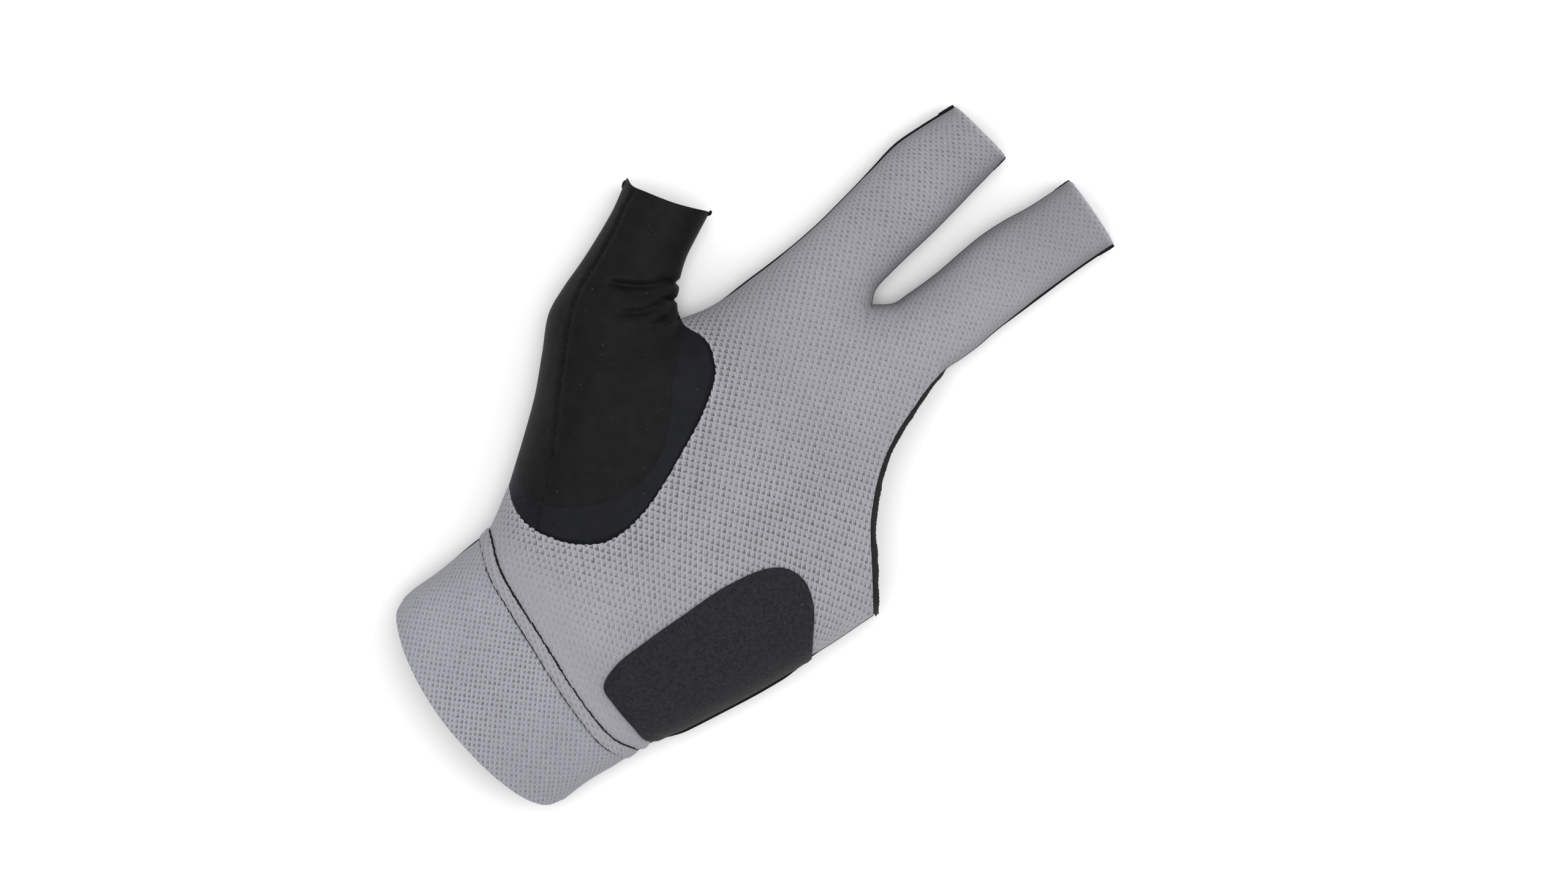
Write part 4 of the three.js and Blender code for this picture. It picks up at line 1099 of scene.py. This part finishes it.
def knit_shade(points):
    """Cut ends of the mesh are paler, and it is darker beside the fingers' sewn edges: painted shade where
    the cloth turns down, together with the black seam allowance under it.
    """
    x, y = points[:, 0], points[:, 1]
    to_mouth, to_root, to_finger = [
        nearest(points, lines)[0] for lines in (finger_mouths, [root_seam], SEWN[1:4])
    ]
    pale = hump(to_mouth, SHADE["mouth_reach"]) + SHADE["root_share"] * hump(to_root, SHADE["root_reach"])
    # Painted shade beside the fingers' sewn edges, where the cloth turns down, together with the black seam
    # allowance under the mesh
    dark = hump(to_finger, SHADE["allowance_reach"])
    dark = dark * past(y, SHADE["allowance_from"], SHADE["allowance_over"])
    shaded = SHADE["allowance"] * dark * (1 - pale.clip(0, 1))
    shaded += SHADE["fingers"] * past(y, SHADE["finger_from"], SHADE["finger_over"])
    tips = SHADE["tips"] + SHADE["middle_tip"] * past(x, TO_MIDDLE["from"], TO_MIDDLE["over"])
    shaded += tips * past(y, SHADE["tip_from"], SHADE["tip_over"])
    for centre, radius, amount in SHADED_SPOTS:
        shaded += amount * around(points, centre, radius)
    return 1 + SHADE["cut_ends"] * pale - shaded


def knit_looks(points):
    """The holes are round on the fingers and hooked on the palm, and the columns lean against the rows."""
    y = points[:, 1]
    roundness = past(y, ROUND["from"], ROUND["over"])
    lean = np.interp(y, LEAN["y"], LEAN["lean"])
    openness, shade = knit_openness(points), knit_shade(points)
    return {"openness": openness, "roundness": roundness, "shade": shade, "lean": lean}


def even_looks(plan, openness, roundness, shade, lean):
    """The same looks for a piece on which most of them don't change."""
    looks = {"openness": openness, "roundness": roundness, "shade": shade, "lean": lean}
    return {name: value * np.ones(len(plan)) for name, value in looks.items()}


# Small pulls in the cloth beside the wrist seam, and the groove in which its upper row sits
PUCKERS = {"groove": 0.30, "groove_reach": 0.7, "pull": 0.10, "pull_reach": 4.5}
PUCKER_WAVES = (1.9, 0.61, 2)
CALM_EDGE = 3


def puckers(points):
    upper = shifted(wrist_line, BAND_WIDTH / 2)
    to_row, _ = nearest(points, [upper])
    away, feet = nearest(points, [wrist_line])
    pulls = PUCKERS["pull"] * swaying(feet[:, 0], *PUCKER_WAVES) * hump(away, PUCKERS["pull_reach"])
    return pulls - PUCKERS["groove"] * hump(to_row, PUCKERS["groove_reach"])


# Where the palm's cloth stands out beside the end of the wrist seam
BESIDE_SEAM = {"place": (47.0, -75.9), "way": (0.97, -0.25), "rise": 1.1, "radius": 1.7}


def palm_surface(sheet):
    flat = sheet["plan"]
    bulge = BESIDE_SEAM["rise"] * around(flat, BESIDE_SEAM["place"], BESIDE_SEAM["radius"])
    plan = flat + np.array(BESIDE_SEAM["way"]) * bulge[:, None]
    to_seam, _ = nearest(flat, SEWN)
    x, y = plan[:, 0], plan[:, 1]
    index_in = rows_between(OUTER_SIDES, "y", y, "index_in") * (x < DRAWN_IN["index_up_to"])
    middle_in = rows_between(OUTER_SIDES, "y", y, "middle_in") * (x > DRAWN_IN["middle_from"])
    plan[:, 0] += (index_in - middle_in) * hump(to_seam, DRAWN_IN["reach"])
    height = top_height(flat) + puckers(plan) * smooth(to_seam / CALM_EDGE)
    sewn = sheet["sewn"] > 0
    height[sewn] = level(plan[sewn], "seam") + SEWN_GAP / 2
    return np.column_stack([plan, height])


def back_surface(sheet):
    plan = sheet["plan"].copy()
    height = under_height(plan)
    y = plan[:, 1]
    by_wrist = WRIST_LIP["out"] * hump(y - WRIST_LIP["y"], WRIST_LIP["reach"])
    by_index = rows_between(OUTER_SIDES, "y", y, "index_out")
    beside_thumb = np.where(y < WRIST_LIP["up_to"], by_wrist, by_index)
    beside_little = rows_between(LEVELS, "y", y, "lip") * past(y, LITTLE_LIP["from"], LITTLE_LIP["over"])
    lip = np.select(
        [sheet["sewn"] == THUMB_EDGE, sheet["sewn"] == WEB_EDGE, sheet["sewn"] == LITTLE_EDGE],
        [beside_thumb + LEAST_LIP, WEB_LIP, beside_little + LEAST_LIP], 0,
    )
    sewn = sheet["sewn"] > 0
    height[sewn] = level(plan[sewn], "seam") - SEWN_GAP / 2
    plan += sheet["outwards"] * lip[:, None]
    return np.column_stack([plan, height])


def panel(name, sheet, surface, cells, material, inner=-CLOTH, outer=0.0, **attributes):
    """A wall of cloth from a sheet, its faces turned outwards."""
    points = surface(sheet)
    faces = sheet["faces"] if surface is palm_surface else sheet["faces"][:, ::-1]
    normals = normals_of(points, faces, sheet["sewn"])
    both, all_faces, source = wall(points, faces, normals, inner, outer)
    extra = {key: values[source] for key, values in attributes.items()}
    return add_mesh(name, both, all_faces, cells[source], material, **extra)


full_palm = hand_sheet(COLUMNS["palm"])
full_back = hand_sheet(COLUMNS["back"])

palm = clipped(clipped(full_palm, below_wrist, False), thumb_of_palm, False)
palm_cells = knit_cells(flattened(palm["plan"]), KNIT_PALM)
palm_cloth = panel("palm_cloth", palm, palm_surface, palm_cells, grey_mesh, **knit_looks(palm["plan"]))
stands_for(palm_cloth, "palm_panel")

back = clipped(clipped(full_back, below_wrist, False), thumb_of_back, False)
back_cloth = panel("back_cloth", back, back_surface, back["plan"] * MM, black_lycra)
stands_for(back_cloth, "back_panel")

cuff = clipped(clipped(full_palm, below_wrist, True), below_hem, False)
cuff_cells = knit_cells(flattened(cuff["plan"]), KNIT_CUFF)
cuff_x = cuff["plan"][:, 0]
cuff_shade = CUFF["shade"] - CUFF["darker"] * past(cuff_x, CUFF["dark_from"], CUFF["dark_over"])
cuff_open = CUFF["open"] + CUFF["opener"] * hump(cuff_x - CUFF["open_at"], CUFF["open_reach"])
cuff_looks = even_looks(cuff["plan"], openness=cuff_open, roundness=0.5, shade=cuff_shade, lean=0.1)
cuff_front_cloth = panel("cuff_front_cloth", cuff, palm_surface, cuff_cells, cuff_mesh, **cuff_looks)
stands_for(cuff_front_cloth, "cuff_front")

cuff_under = clipped(clipped(full_back, below_wrist, True), below_hem, False)
cuff_back_cloth = panel("cuff_back_cloth", cuff_under, back_surface, cuff_under["plan"] * MM, black_lycra)
stands_for(cuff_back_cloth, "cuff_back")

# The band sewn down round the wrist, and the suede patch on the heel of the hand
BAND = {"rise": 0.42, "roll": 1.6, "knit_along": 1.35}
PAD_EDGE = {"height": 0.45, "width": 1.3}
STITCH_INSET = 1.8
STITCH_GROOVE = {"depth": 0.12, "width": 0.7}
ON_TOP = GAP * 0.6

half_band = BAND_WIDTH / 2
band_outline = np.concatenate([shifted(wrist_line, half_band), shifted(wrist_line, -half_band)[::-1]])
band = clipped(hand_sheet(COLUMNS["band"]), band_outline, True)
across_band, _ = nearest(band["plan"], [wrist_line])
band_rise = GAP + BAND["rise"] * arc(BAND["roll"] * (1 - across_band / half_band))
band_cells = knit_cells(flattened(band["plan"]), KNIT_PALM) * (1.0, BAND["knit_along"])
band_looks = even_looks(band["plan"], openness=0.6, roundness=0.3, shade=0.98, lean=0.1)
wrist_band = panel(
    "wrist_band", band, palm_surface, band_cells, grey_mesh, ON_TOP, band_rise[:, None], **band_looks,
)
stands_for(wrist_band, "wrist_seam_band")

pad_line = spaced(curve(HEEL_PAD, closed=True), CUT_STEP)
pad = clipped(full_palm, pad_line, True)
from_edge, _ = nearest(pad["plan"], [np.concatenate([pad_line, pad_line[:1]])])
rounded = PAD_EDGE["height"] + (1 - PAD_EDGE["height"]) * arc(from_edge / PAD_EDGE["width"])
pressed = STITCH_GROOVE["depth"] * hump(from_edge - STITCH_INSET, STITCH_GROOVE["width"])
pad_rise = GAP + PAD * rounded - pressed
heel_patch = panel("heel_patch", pad, palm_surface, pad["plan"] * MM, suede, ON_TOP, pad_rise[:, None])
stands_for(heel_patch, "heel_pad")


# The thumb
def off_chord(line, t):
    """A curve's points at shares of its length, as shares along its chord and off it."""
    total = length_along(line)[-1]
    p = at_lengths(line, t * total) - line[0]
    chord = line[-1] - line[0]
    square = (chord**2).sum()
    return np.column_stack([p @ chord, chord[0] * p[:, 1] - chord[1] * p[:, 0]]) / square


def thumb_rows(lines, s, t):
    """Points of the thumb's rows at shares s along its sides and t across, as arrays of rows."""
    beyond = (s - THUMB["edge_at"]) / THUMB["straight_after"]
    first = beyond < 0
    root = np.where(first, 1 - s / THUMB["edge_at"], 0)
    edge = np.where(first, s / THUMB["edge_at"], (1 - np.clip(beyond, 0, 1)) ** 2)
    mouth = np.where(first, 0, smooth(2 * s - 1))
    along = (1 - root - edge - mouth)[:, None] * t
    off = np.zeros_like(along)
    for share, line in zip((root, edge, mouth), lines):
        own = off_chord(curve(line), t)
        along += share[:, None] * own[:, 0]
        off += share[:, None] * own[:, 1]
    sides = [at_lengths(side, s * length_along(side)[-1]) for side in (thumb_outer, thumb_inner)]
    chord = sides[1] - sides[0]
    sideways = np.column_stack([-chord[:, 1], chord[:, 0]])
    return sides[0][:, None] + chord[:, None] * along[..., None] + sideways[:, None] * off[..., None]


# Where the sleeve's edge is drawn in by its folds, and where it bulges between them
CRUMPLES = table(
    "x y reach radius",
    (-35.9, 15.4, -1.05, 0.75),
    (-34.2, 14.5, 0.25, 1.1),
    (-32.7, 12.1, -0.9, 0.65),
)
CRUMPLE_LENGTH = 3.2
AWAY_FROM_THUMB = np.array((0.695, 0.719))


def crumpled(points):
    moved = points.copy()
    for x, y, reach, radius in zip(*CRUMPLES.values()):
        away = points - (x, y)
        outwards = away @ AWAY_FROM_THUMB
        beside = away @ (-AWAY_FROM_THUMB[1], AWAY_FROM_THUMB[0])
        share = np.exp(-((beside / radius) ** 2) - (outwards / CRUMPLE_LENGTH) ** 2)
        moved += AWAY_FROM_THUMB * (reach * share)[..., None]
    return moved


# The seam along the sleeve: a shallow groove with small pulls beside it
SLEEVE_SEAM = {
    "groove": 0.42, "groove_reach": 0.5, "bank": 0.12, "bank_at": 1.2, "bank_reach": 0.8, "pull": 0.08,
}
SLEEVE_WAVES = (2.6, 0.7, 1.5)


def thumb_relief(points):
    away, feet = nearest(points, [curve(THUMB_SEAM)])
    bank = SLEEVE_SEAM["bank"] + SLEEVE_SEAM["pull"] * swaying(feet[:, 1], *SLEEVE_WAVES)
    bank = bank * hump(away - SLEEVE_SEAM["bank_at"], SLEEVE_SEAM["bank_reach"])
    return bank - SLEEVE_SEAM["groove"] * hump(away, SLEEVE_SEAM["groove_reach"])


def thumb_tube(s, drop):
    """A ring of cloth round the thumb for the given rows, lowered by a distance at each row."""
    t_over = (1 - np.cos(np.linspace(0, 1, THUMB["over"] + 1) * math.pi)) / 2
    t_under = (1 + np.cos(np.linspace(0, 1, THUMB["under"] + 1) * math.pi))[1:-1] / 2
    over = thumb_rows([ROOT_SEAM, SLEEVE_EDGE, THUMB_MOUTH], s, t_over)
    under = thumb_rows([ROOT_SEAM_BACK, SLEEVE_EDGE_BACK, THUMB_MOUTH_BACK], s, t_under)
    flat = over.reshape(-1, 2)
    inwards = smooth(nearest(flat, SEWN)[0] / THUMB["calm_edge"])
    top = top_height(flat) + thumb_relief(flat) * inwards
    top = top.reshape(over.shape[:2]) - drop[:, None] * inwards.reshape(over.shape[:2])
    for k in (0, -1):
        top[:, k] = level(over[:, k], "seam")
    bottom = under_height(under.reshape(-1, 2)).reshape(under.shape[:2])
    ring = np.concatenate([np.dstack([crumpled(over), top]), np.dstack([crumpled(under), bottom])], 1)
    return ring.reshape(-1, 3), ring_faces(*ring.shape[:2])


# The thumb's cloth is thinner where it comes to a point between two seams, and at its mouth
PINCHES = [np.array([(-28.2, 9.5), (-30.6, 11.2)]), np.array([(-28.0, -53.6), (-31.2, -47.8)])]
THINNER = {"pinch": 0.12, "pinch_reach": 5.0, "mouth": 0.45, "mouth_reach": 3}
# The gusset is tucked in under the palm's edge, and it meets the sleeve in a shallow groove
TUCK = {"depth": 0.75, "share": 0.16}
SLEEVE_GROOVE = {"depth": 0.14, "gusset_share": 0.1, "sleeve_share": 0.008}


def tube_cloth(name, s, drop, material, node):
    points, faces = thumb_tube(s, drop)
    normals = normals_of(points, faces, np.zeros(len(points)))
    to_pinch, to_mouth = [nearest(points[:, :2], lines)[0] for lines in (PINCHES, [np.array(THUMB_MOUTH)])]
    thickness = CLOTH * np.clip(to_pinch / THINNER["pinch_reach"], THINNER["pinch"], 1)
    thickness *= THINNER["mouth"] + (1 - THINNER["mouth"]) * smooth(to_mouth / THINNER["mouth_reach"])
    both, all_faces, source = wall(points, faces, normals, -thickness[:, None], 0.0)
    tube = add_mesh(name, both, all_faces, points[source][:, :2] * MM, material, sharp=85)
    return stands_for(tube, node)


edge_at = THUMB["edge_at"]
gusset_rows = np.linspace(0.0, edge_at, THUMB["gusset_rows"])
to_edge = gusset_rows / edge_at
tucked = TUCK["depth"] * (1 - smooth(to_edge / TUCK["share"]))
tucked += SLEEVE_GROOVE["depth"] * smooth(1 - (1 - to_edge) / SLEEVE_GROOVE["gusset_share"])
gusset_cloth = tube_cloth("gusset_cloth", gusset_rows, tucked, navy_lycra, "thumb_gusset")
sleeve_rows = edge_at + (1 - edge_at) * np.linspace(0, 1, THUMB["rows"]) ** THUMB["crowding"]
drawn_in = SLEEVE_GROOVE["depth"] * (1 - smooth((sleeve_rows - edge_at) / SLEEVE_GROOVE["sleeve_share"]))
sleeve_cloth = tube_cloth("sleeve_cloth", sleeve_rows, drawn_in, black_lycra, "thumb_sleeve")


# The edging of the side opening, on the palm's cloth and on the back's
BINDING = {"height": 1.8, "end_gap": 0.002, "clear": -0.12, "cuts": 260}
WRAPPED_TO = 68.5
EDGING_WIDTH = table(
    "share width",
    (0.0, 1.65),
    (0.1, 1.8),
    (0.22, 1.9),
    (0.33, 1.6),
    (0.43, 1.75),
    (0.53, 1.5),
    (0.66, 1.4),
    (0.75, 1.5),
    (0.85, 1.2),
    (0.95, 1.0),
    (1.0, 0.25),
)
opening_line = spaced(little_side[CORNER_ROW * CUTS : HAND_ROWS + 1], THREAD_STEP)
clear_of_seam = BINDING["height"] / 2 + SEWN_GAP


def edging_line(height_of):
    """The middle line of a bar of edging just outside the opening's edge, and its width along it."""
    total = length_along(opening_line)[-1]
    shares = np.linspace(BINDING["end_gap"], 1 - BINDING["end_gap"], BINDING["cuts"])
    inner = at_lengths(opening_line, shares * total)
    width = rows_between(EDGING_WIDTH, "share", shares, "width")
    outer = shifted(inner, -1.0)
    outer = inner + (outer - inner) * (BINDING["clear"] + width / 2)[:, None]
    return np.column_stack([outer, height_of(inner)]), width


def on_palm(points):
    return np.maximum(top_height(points) - CLOTH / 2, level(points, "seam") + clear_of_seam)


def on_back(points):
    low = np.maximum(under_height(points) + CLOTH / 2, BINDING["height"] / 2)
    return np.minimum(low, level(points, "seam") - clear_of_seam)


# A bar's roundness, roughness and lumps
BAR = {
    "sides": 14, "fill": 0.94, "rough": 0.05, "roughest": 1.5, "wraps": 0.05, "wrap_pitch": 1.35,
    "lumps": 0.09, "start": 1.2, "tip": 0.3, "lowest": 0.02,
}
LUMP_WAVES = (0.85, 0.31, 1.3)


def bar_of_cloth(name, line, width, height, material, tapers=3.0):
    """A rough bar along a line, round at its start and tapering at its end."""
    rng = np.random.default_rng(SEED)
    sides = BAR["sides"]
    angle = np.arange(sides) / sides * 2 * math.pi
    tangent = np.gradient(line, axis=0)
    out = np.column_stack([tangent[:, 1], -tangent[:, 0], np.zeros(len(line))])
    out /= np.linalg.norm(out, axis=1)[:, None]
    uneven = rng.standard_normal((len(line), sides)).clip(-BAR["roughest"], BAR["roughest"])
    rough = 1 + BAR["rough"] * uneven
    along = length_along(line)
    lumps = 1 + BAR["wraps"] * np.sin(along * 2 * math.pi / BAR["wrap_pitch"])
    lumps += BAR["lumps"] * swaying(along, *LUMP_WAVES)
    start, finish = arc(along / BAR["start"]), arc((along[-1] - along) / tapers)
    ends = (start * (BAR["tip"] + (1 - BAR["tip"]) * finish))[:, None]
    wide = (width * lumps)[:, None] / 2 * BAR["fill"] * rough
    high = height / 2 * BAR["fill"] * rough
    ring = line[:, None] + out[:, None] * (np.cos(angle) * wide * ends)[..., None]
    ring[..., 2] += np.sin(angle) * high * ends
    ring[..., 2] = np.maximum(ring[..., 2], BAR["lowest"])
    last = (len(line) - 1) * sides
    k = np.arange(1, sides - 1)
    caps = [np.column_stack([0 * k, k, k + 1]), np.column_stack([last + 0 * k, last + k + 1, last + k])]
    faces = np.concatenate([ring_faces(len(line), sides)[:, ::-1], *caps])
    points = ring.reshape(-1, 3)
    return add_mesh(name, points, faces, points[:, :2] * MM, material)


palm_edging_line, edging_width = edging_line(on_palm)
back_edging_line, _ = edging_line(on_back)
palm_edging = bar_of_cloth("palm_edging", palm_edging_line, edging_width, BINDING["height"], black_edging)
back_edging = bar_of_cloth("back_edging", back_edging_line, edging_width, BINDING["height"], black_edging)
stands_for(palm_edging, "palm_binding")
stands_for(back_edging, "back_binding")

# The seams of the thumb's sleeve end in a folded ear on one side of its mouth and a small roll on the other
MOUTH_EAR = [(-63.3, 22.6, 8.6), (-64.0, 23.7, 9.0), (-64.45, 24.9, 9.4)]
MOUTH_ROLL = [(-43.0, 33.7, 8.6), (-42.7, 34.7, 8.9), (-43.1, 35.5, 9.1)]
ROLLED = {"step": 0.2, "tapers": 0.8}
for name, points, thick in (("mouth_ear", MOUTH_EAR, 1.3), ("mouth_roll", MOUTH_ROLL, 0.9)):
    line = spaced(curve(points), ROLLED["step"])
    roll = bar_of_cloth(name, line, np.full(len(line), thick), thick, black_lycra, ROLLED["tapers"])
    rides(roll)


# Stitches: how far their lines are lifted off the cloth, and how far they stay from the sewn edges
LIFTS = {"thumb_seam": 0.10, "loops": -0.36, "cut_ends": -0.4}
MARGINS = {"wrist": 0.05, "loops": 1.6, "cut_ends": 0.3}
BESIDE_BAND = 0.05
PAD_RUNS = {"least_inset": 0.93, "gap": 1.5, "least_points": 4}


def on_surface(line, height_of, lift):
    return np.column_stack([line, height_of(line) + lift])


def between_seams(line, margin):
    """The stretch of a line that lies on the glove, clear of the sewn edges by a margin."""
    edge, _ = nearest(line, SEWN)
    hand = np.concatenate([thumb_side, index_inner[::-1], middle_inner, little_side[::-1]])
    return line[inside(line, hand) & (edge > margin)]


def wrist_height(points):
    return top_height(points) + puckers(points) * smooth(nearest(points, SEWN)[0] / CALM_EDGE)


def seam_height(points):
    return top_height(points) + thumb_relief(points)


def part_of(row, from_x, to_x):
    return row[(row[:, 0] >= from_x) & (row[:, 0] < to_x)]


band_rows = [shifted(wrist_line, side * (half_band + BESIDE_BAND)) for side in (1, -1)]
upper_row, lower_row = [between_seams(spaced(row, THREAD_STEP), MARGINS["wrist"]) for row in band_rows]

for name, row, lift, pitch, turn, parts in (
    ("upper", upper_row, 0.42, 1.3, 0.2, ((-40, -2, 0.60), (-2, 18, 0.52), (18, 60, 0.42))),
    ("lower", lower_row, 0.32, 1.7, 0.14, ((-40, 8, 0.34), (8, 60, 0.27))),
):
    for number, (from_x, to_x, thickness) in enumerate(parts):
        stretch = on_surface(part_of(row, from_x, to_x), wrist_height, lift)
        threads(
            f"wrist_stitches_{name}_{number}", [stretch], black_thread, "black_binding",
            pitch=pitch, length=2.0, thickness=thickness, flatness=0.8, turn=turn, scatter=0.08, wander=0.10,
            uneven=0.2,
        )

inset = spaced(shifted(pad_line, STITCH_INSET), THREAD_STEP)
well_in = nearest(inset, [pad_line])[0] > STITCH_INSET * PAD_RUNS["least_inset"]
inset = between_seams(inset[well_in], STITCH_INSET)
by_the_side = shifted(spaced(below_opening, THREAD_STEP), STITCH_INSET)
well_in = nearest(by_the_side, [pad_line])[0] > STITCH_INSET
by_the_side = by_the_side[inside(by_the_side, pad_line) & well_in]
pad_runs = []
for run in (inset, by_the_side):
    breaks = np.flatnonzero(np.linalg.norm(np.diff(run, axis=0), axis=1) > PAD_RUNS["gap"]) + 1
    parts = [part for part in np.split(run, breaks) if len(part) > PAD_RUNS["least_points"]]
    pad_runs += [on_surface(part, top_height, GAP + PAD - STITCH_GROOVE["depth"]) for part in parts]
patch_stitches = threads(
    "pad_stitches", pad_runs, suede_thread, "black_binding",
    pitch=2.4, length=1.9, thickness=0.22, flatness=0.9, scatter=0.05, wander=0.06, uneven=0.12,
)

seams = [spaced(line, THREAD_STEP) for line in (curve(THUMB_SEAM), np.array(GUSSET_JOIN))]
seam_lines = [on_surface(line, seam_height, LIFTS["thumb_seam"]) for line in seams]
seam_stitches = threads(
    "thumb_seam_stitches", seam_lines, black_thread, "black_binding",
    pitch=0.95, length=1.15, thickness=0.27, flatness=0.8, turn=0.5, zigzag=1.0, scatter=0.3, wander=0.16,
    uneven=0.35,
)

wrapped = palm_edging_line[length_along(palm_edging_line) < WRAPPED_TO]
edging_wraps = threads(
    "palm_edging_wraps", [wrapped], black_edging, "black_binding",
    pitch=0.85, length=1.05, thickness=0.60, flatness=0.9, turn=1.2, scatter=0.2, wander=0.16, uneven=0.2,
)

# Loops of the palm's cut edge round the root of the thumb
LOOPS_UP_TO = -24.0
root_run = between_seams(spaced(root_seam, THREAD_STEP), MARGINS["loops"])
root_run = root_run[root_run[:, 1] < LOOPS_UP_TO]
edge_loops = threads(
    "palm_edge_loops", [on_surface(root_run, top_height, LIFTS["loops"])], grey_fibre, "grey_mesh",
    pitch=1.85, length=1.5, thickness=0.72, flatness=0.95, scatter=0.08, wander=0.12, uneven=0.16,
)

# Cut ends of the mesh at the finger mouths
fibre_lines = []
for mouth in finger_mouths:
    line = spaced(mouth, FINE_THREAD_STEP)
    line = line[nearest(line, SEWN)[0] > MARGINS["cut_ends"]]
    fibre_lines.append(on_surface(line, top_height, LIFTS["cut_ends"]))
ends = threads(
    "cut_ends", fibre_lines, pale_fibre, "grey_mesh",
    pitch=0.11, length=0.5, thickness=0.08, flatness=1.0, turn=1.57, scatter=0.35, wander=0.16, uneven=0.3,
)

# The side seams' dark ends at the finger mouths
SEAM_ENDS = {"length": 5.0, "thick": 0.52, "beyond": 0.15, "out": 0.12, "below_seam": 0.35, "tapers": 4.5}


def seam_end(name, side, outwards):
    step = side[-1] - side[-2]
    finish = side[-1] + step / np.linalg.norm(step) * SEAM_ENDS["beyond"]
    line = np.concatenate([spaced(side[-CUTS:], FINE_THREAD_STEP), finish[None]])
    along = length_along(line)
    line = shifted(line[along > along[-1] - SEAM_ENDS["length"]], outwards * SEAM_ENDS["out"])
    line = np.column_stack([line, level(line, "seam") - SEAM_ENDS["below_seam"]])[::-1]
    thick = SEAM_ENDS["thick"]
    bar = bar_of_cloth(name, line, np.full(len(line), thick), thick, black_lycra, SEAM_ENDS["tapers"])
    return rides(bar)


seam_ends = [
    seam_end("index_outer_seam_end", thumb_side, 1), seam_end("index_inner_seam_end", index_inner, -1),
    seam_end("middle_inner_seam_end", middle_inner, 1), seam_end("middle_outer_seam_end", little_side, -1),
]


# Floor, light and camera
TABLE_HALF = 1.6


def stage():
    mesh = bpy.data.meshes.new("table")
    corners = [(x * TABLE_HALF, y * TABLE_HALF, 0) for x, y in ((-1, -1), (1, -1), (1, 1), (-1, 1))]
    mesh.from_pydata(corners, [], [(0, 1, 2, 3)])
    floor = placed("table", mesh)
    material, _, shader = start_material("pale_table", specular=0.1, roughness=0.9)
    shader["Base Color"].default_value = grey(0.93)
    mesh.materials.append(material)


def light(name, place, size, power):
    """A round lamp that faces the glove."""
    data = bpy.data.lights.new(name, "AREA")
    data.shape = "DISK"
    data.size = size
    data.energy = power
    lamp = placed(name, data)
    lamp.location = place
    lamp.rotation_euler = (-Vector(place)).to_track_quat("-Z", "Y").to_euler()


def camera():
    """Straight above the glove, turned as the photograph shows it."""
    data = bpy.data.cameras.new("camera")
    data.lens = 128.8
    data.sensor_width = 36.0
    data.clip_start, data.clip_end = 0.1, 10.0
    eye = placed("camera", data)
    eye.location = (0.01446, 0.00689, 1.5)
    eye.rotation_euler = (0, 0, math.radians(46))
    bpy.context.scene.camera = eye


stage()
camera()
world = bpy.data.worlds.new("studio")
world.use_nodes = True
background = world.node_tree.nodes["Background"].inputs
background["Color"].default_value = grey(1)
background["Strength"].default_value = 0.80
bpy.context.scene.world = world
light("overhead", (0.02, 0.03, 1.3), size=1.0, power=8.5)
light("from_the_right", (0.72, 0.62, 0.95), size=0.9, power=4.0)
bpy.context.scene.view_settings.view_transform = "Standard"
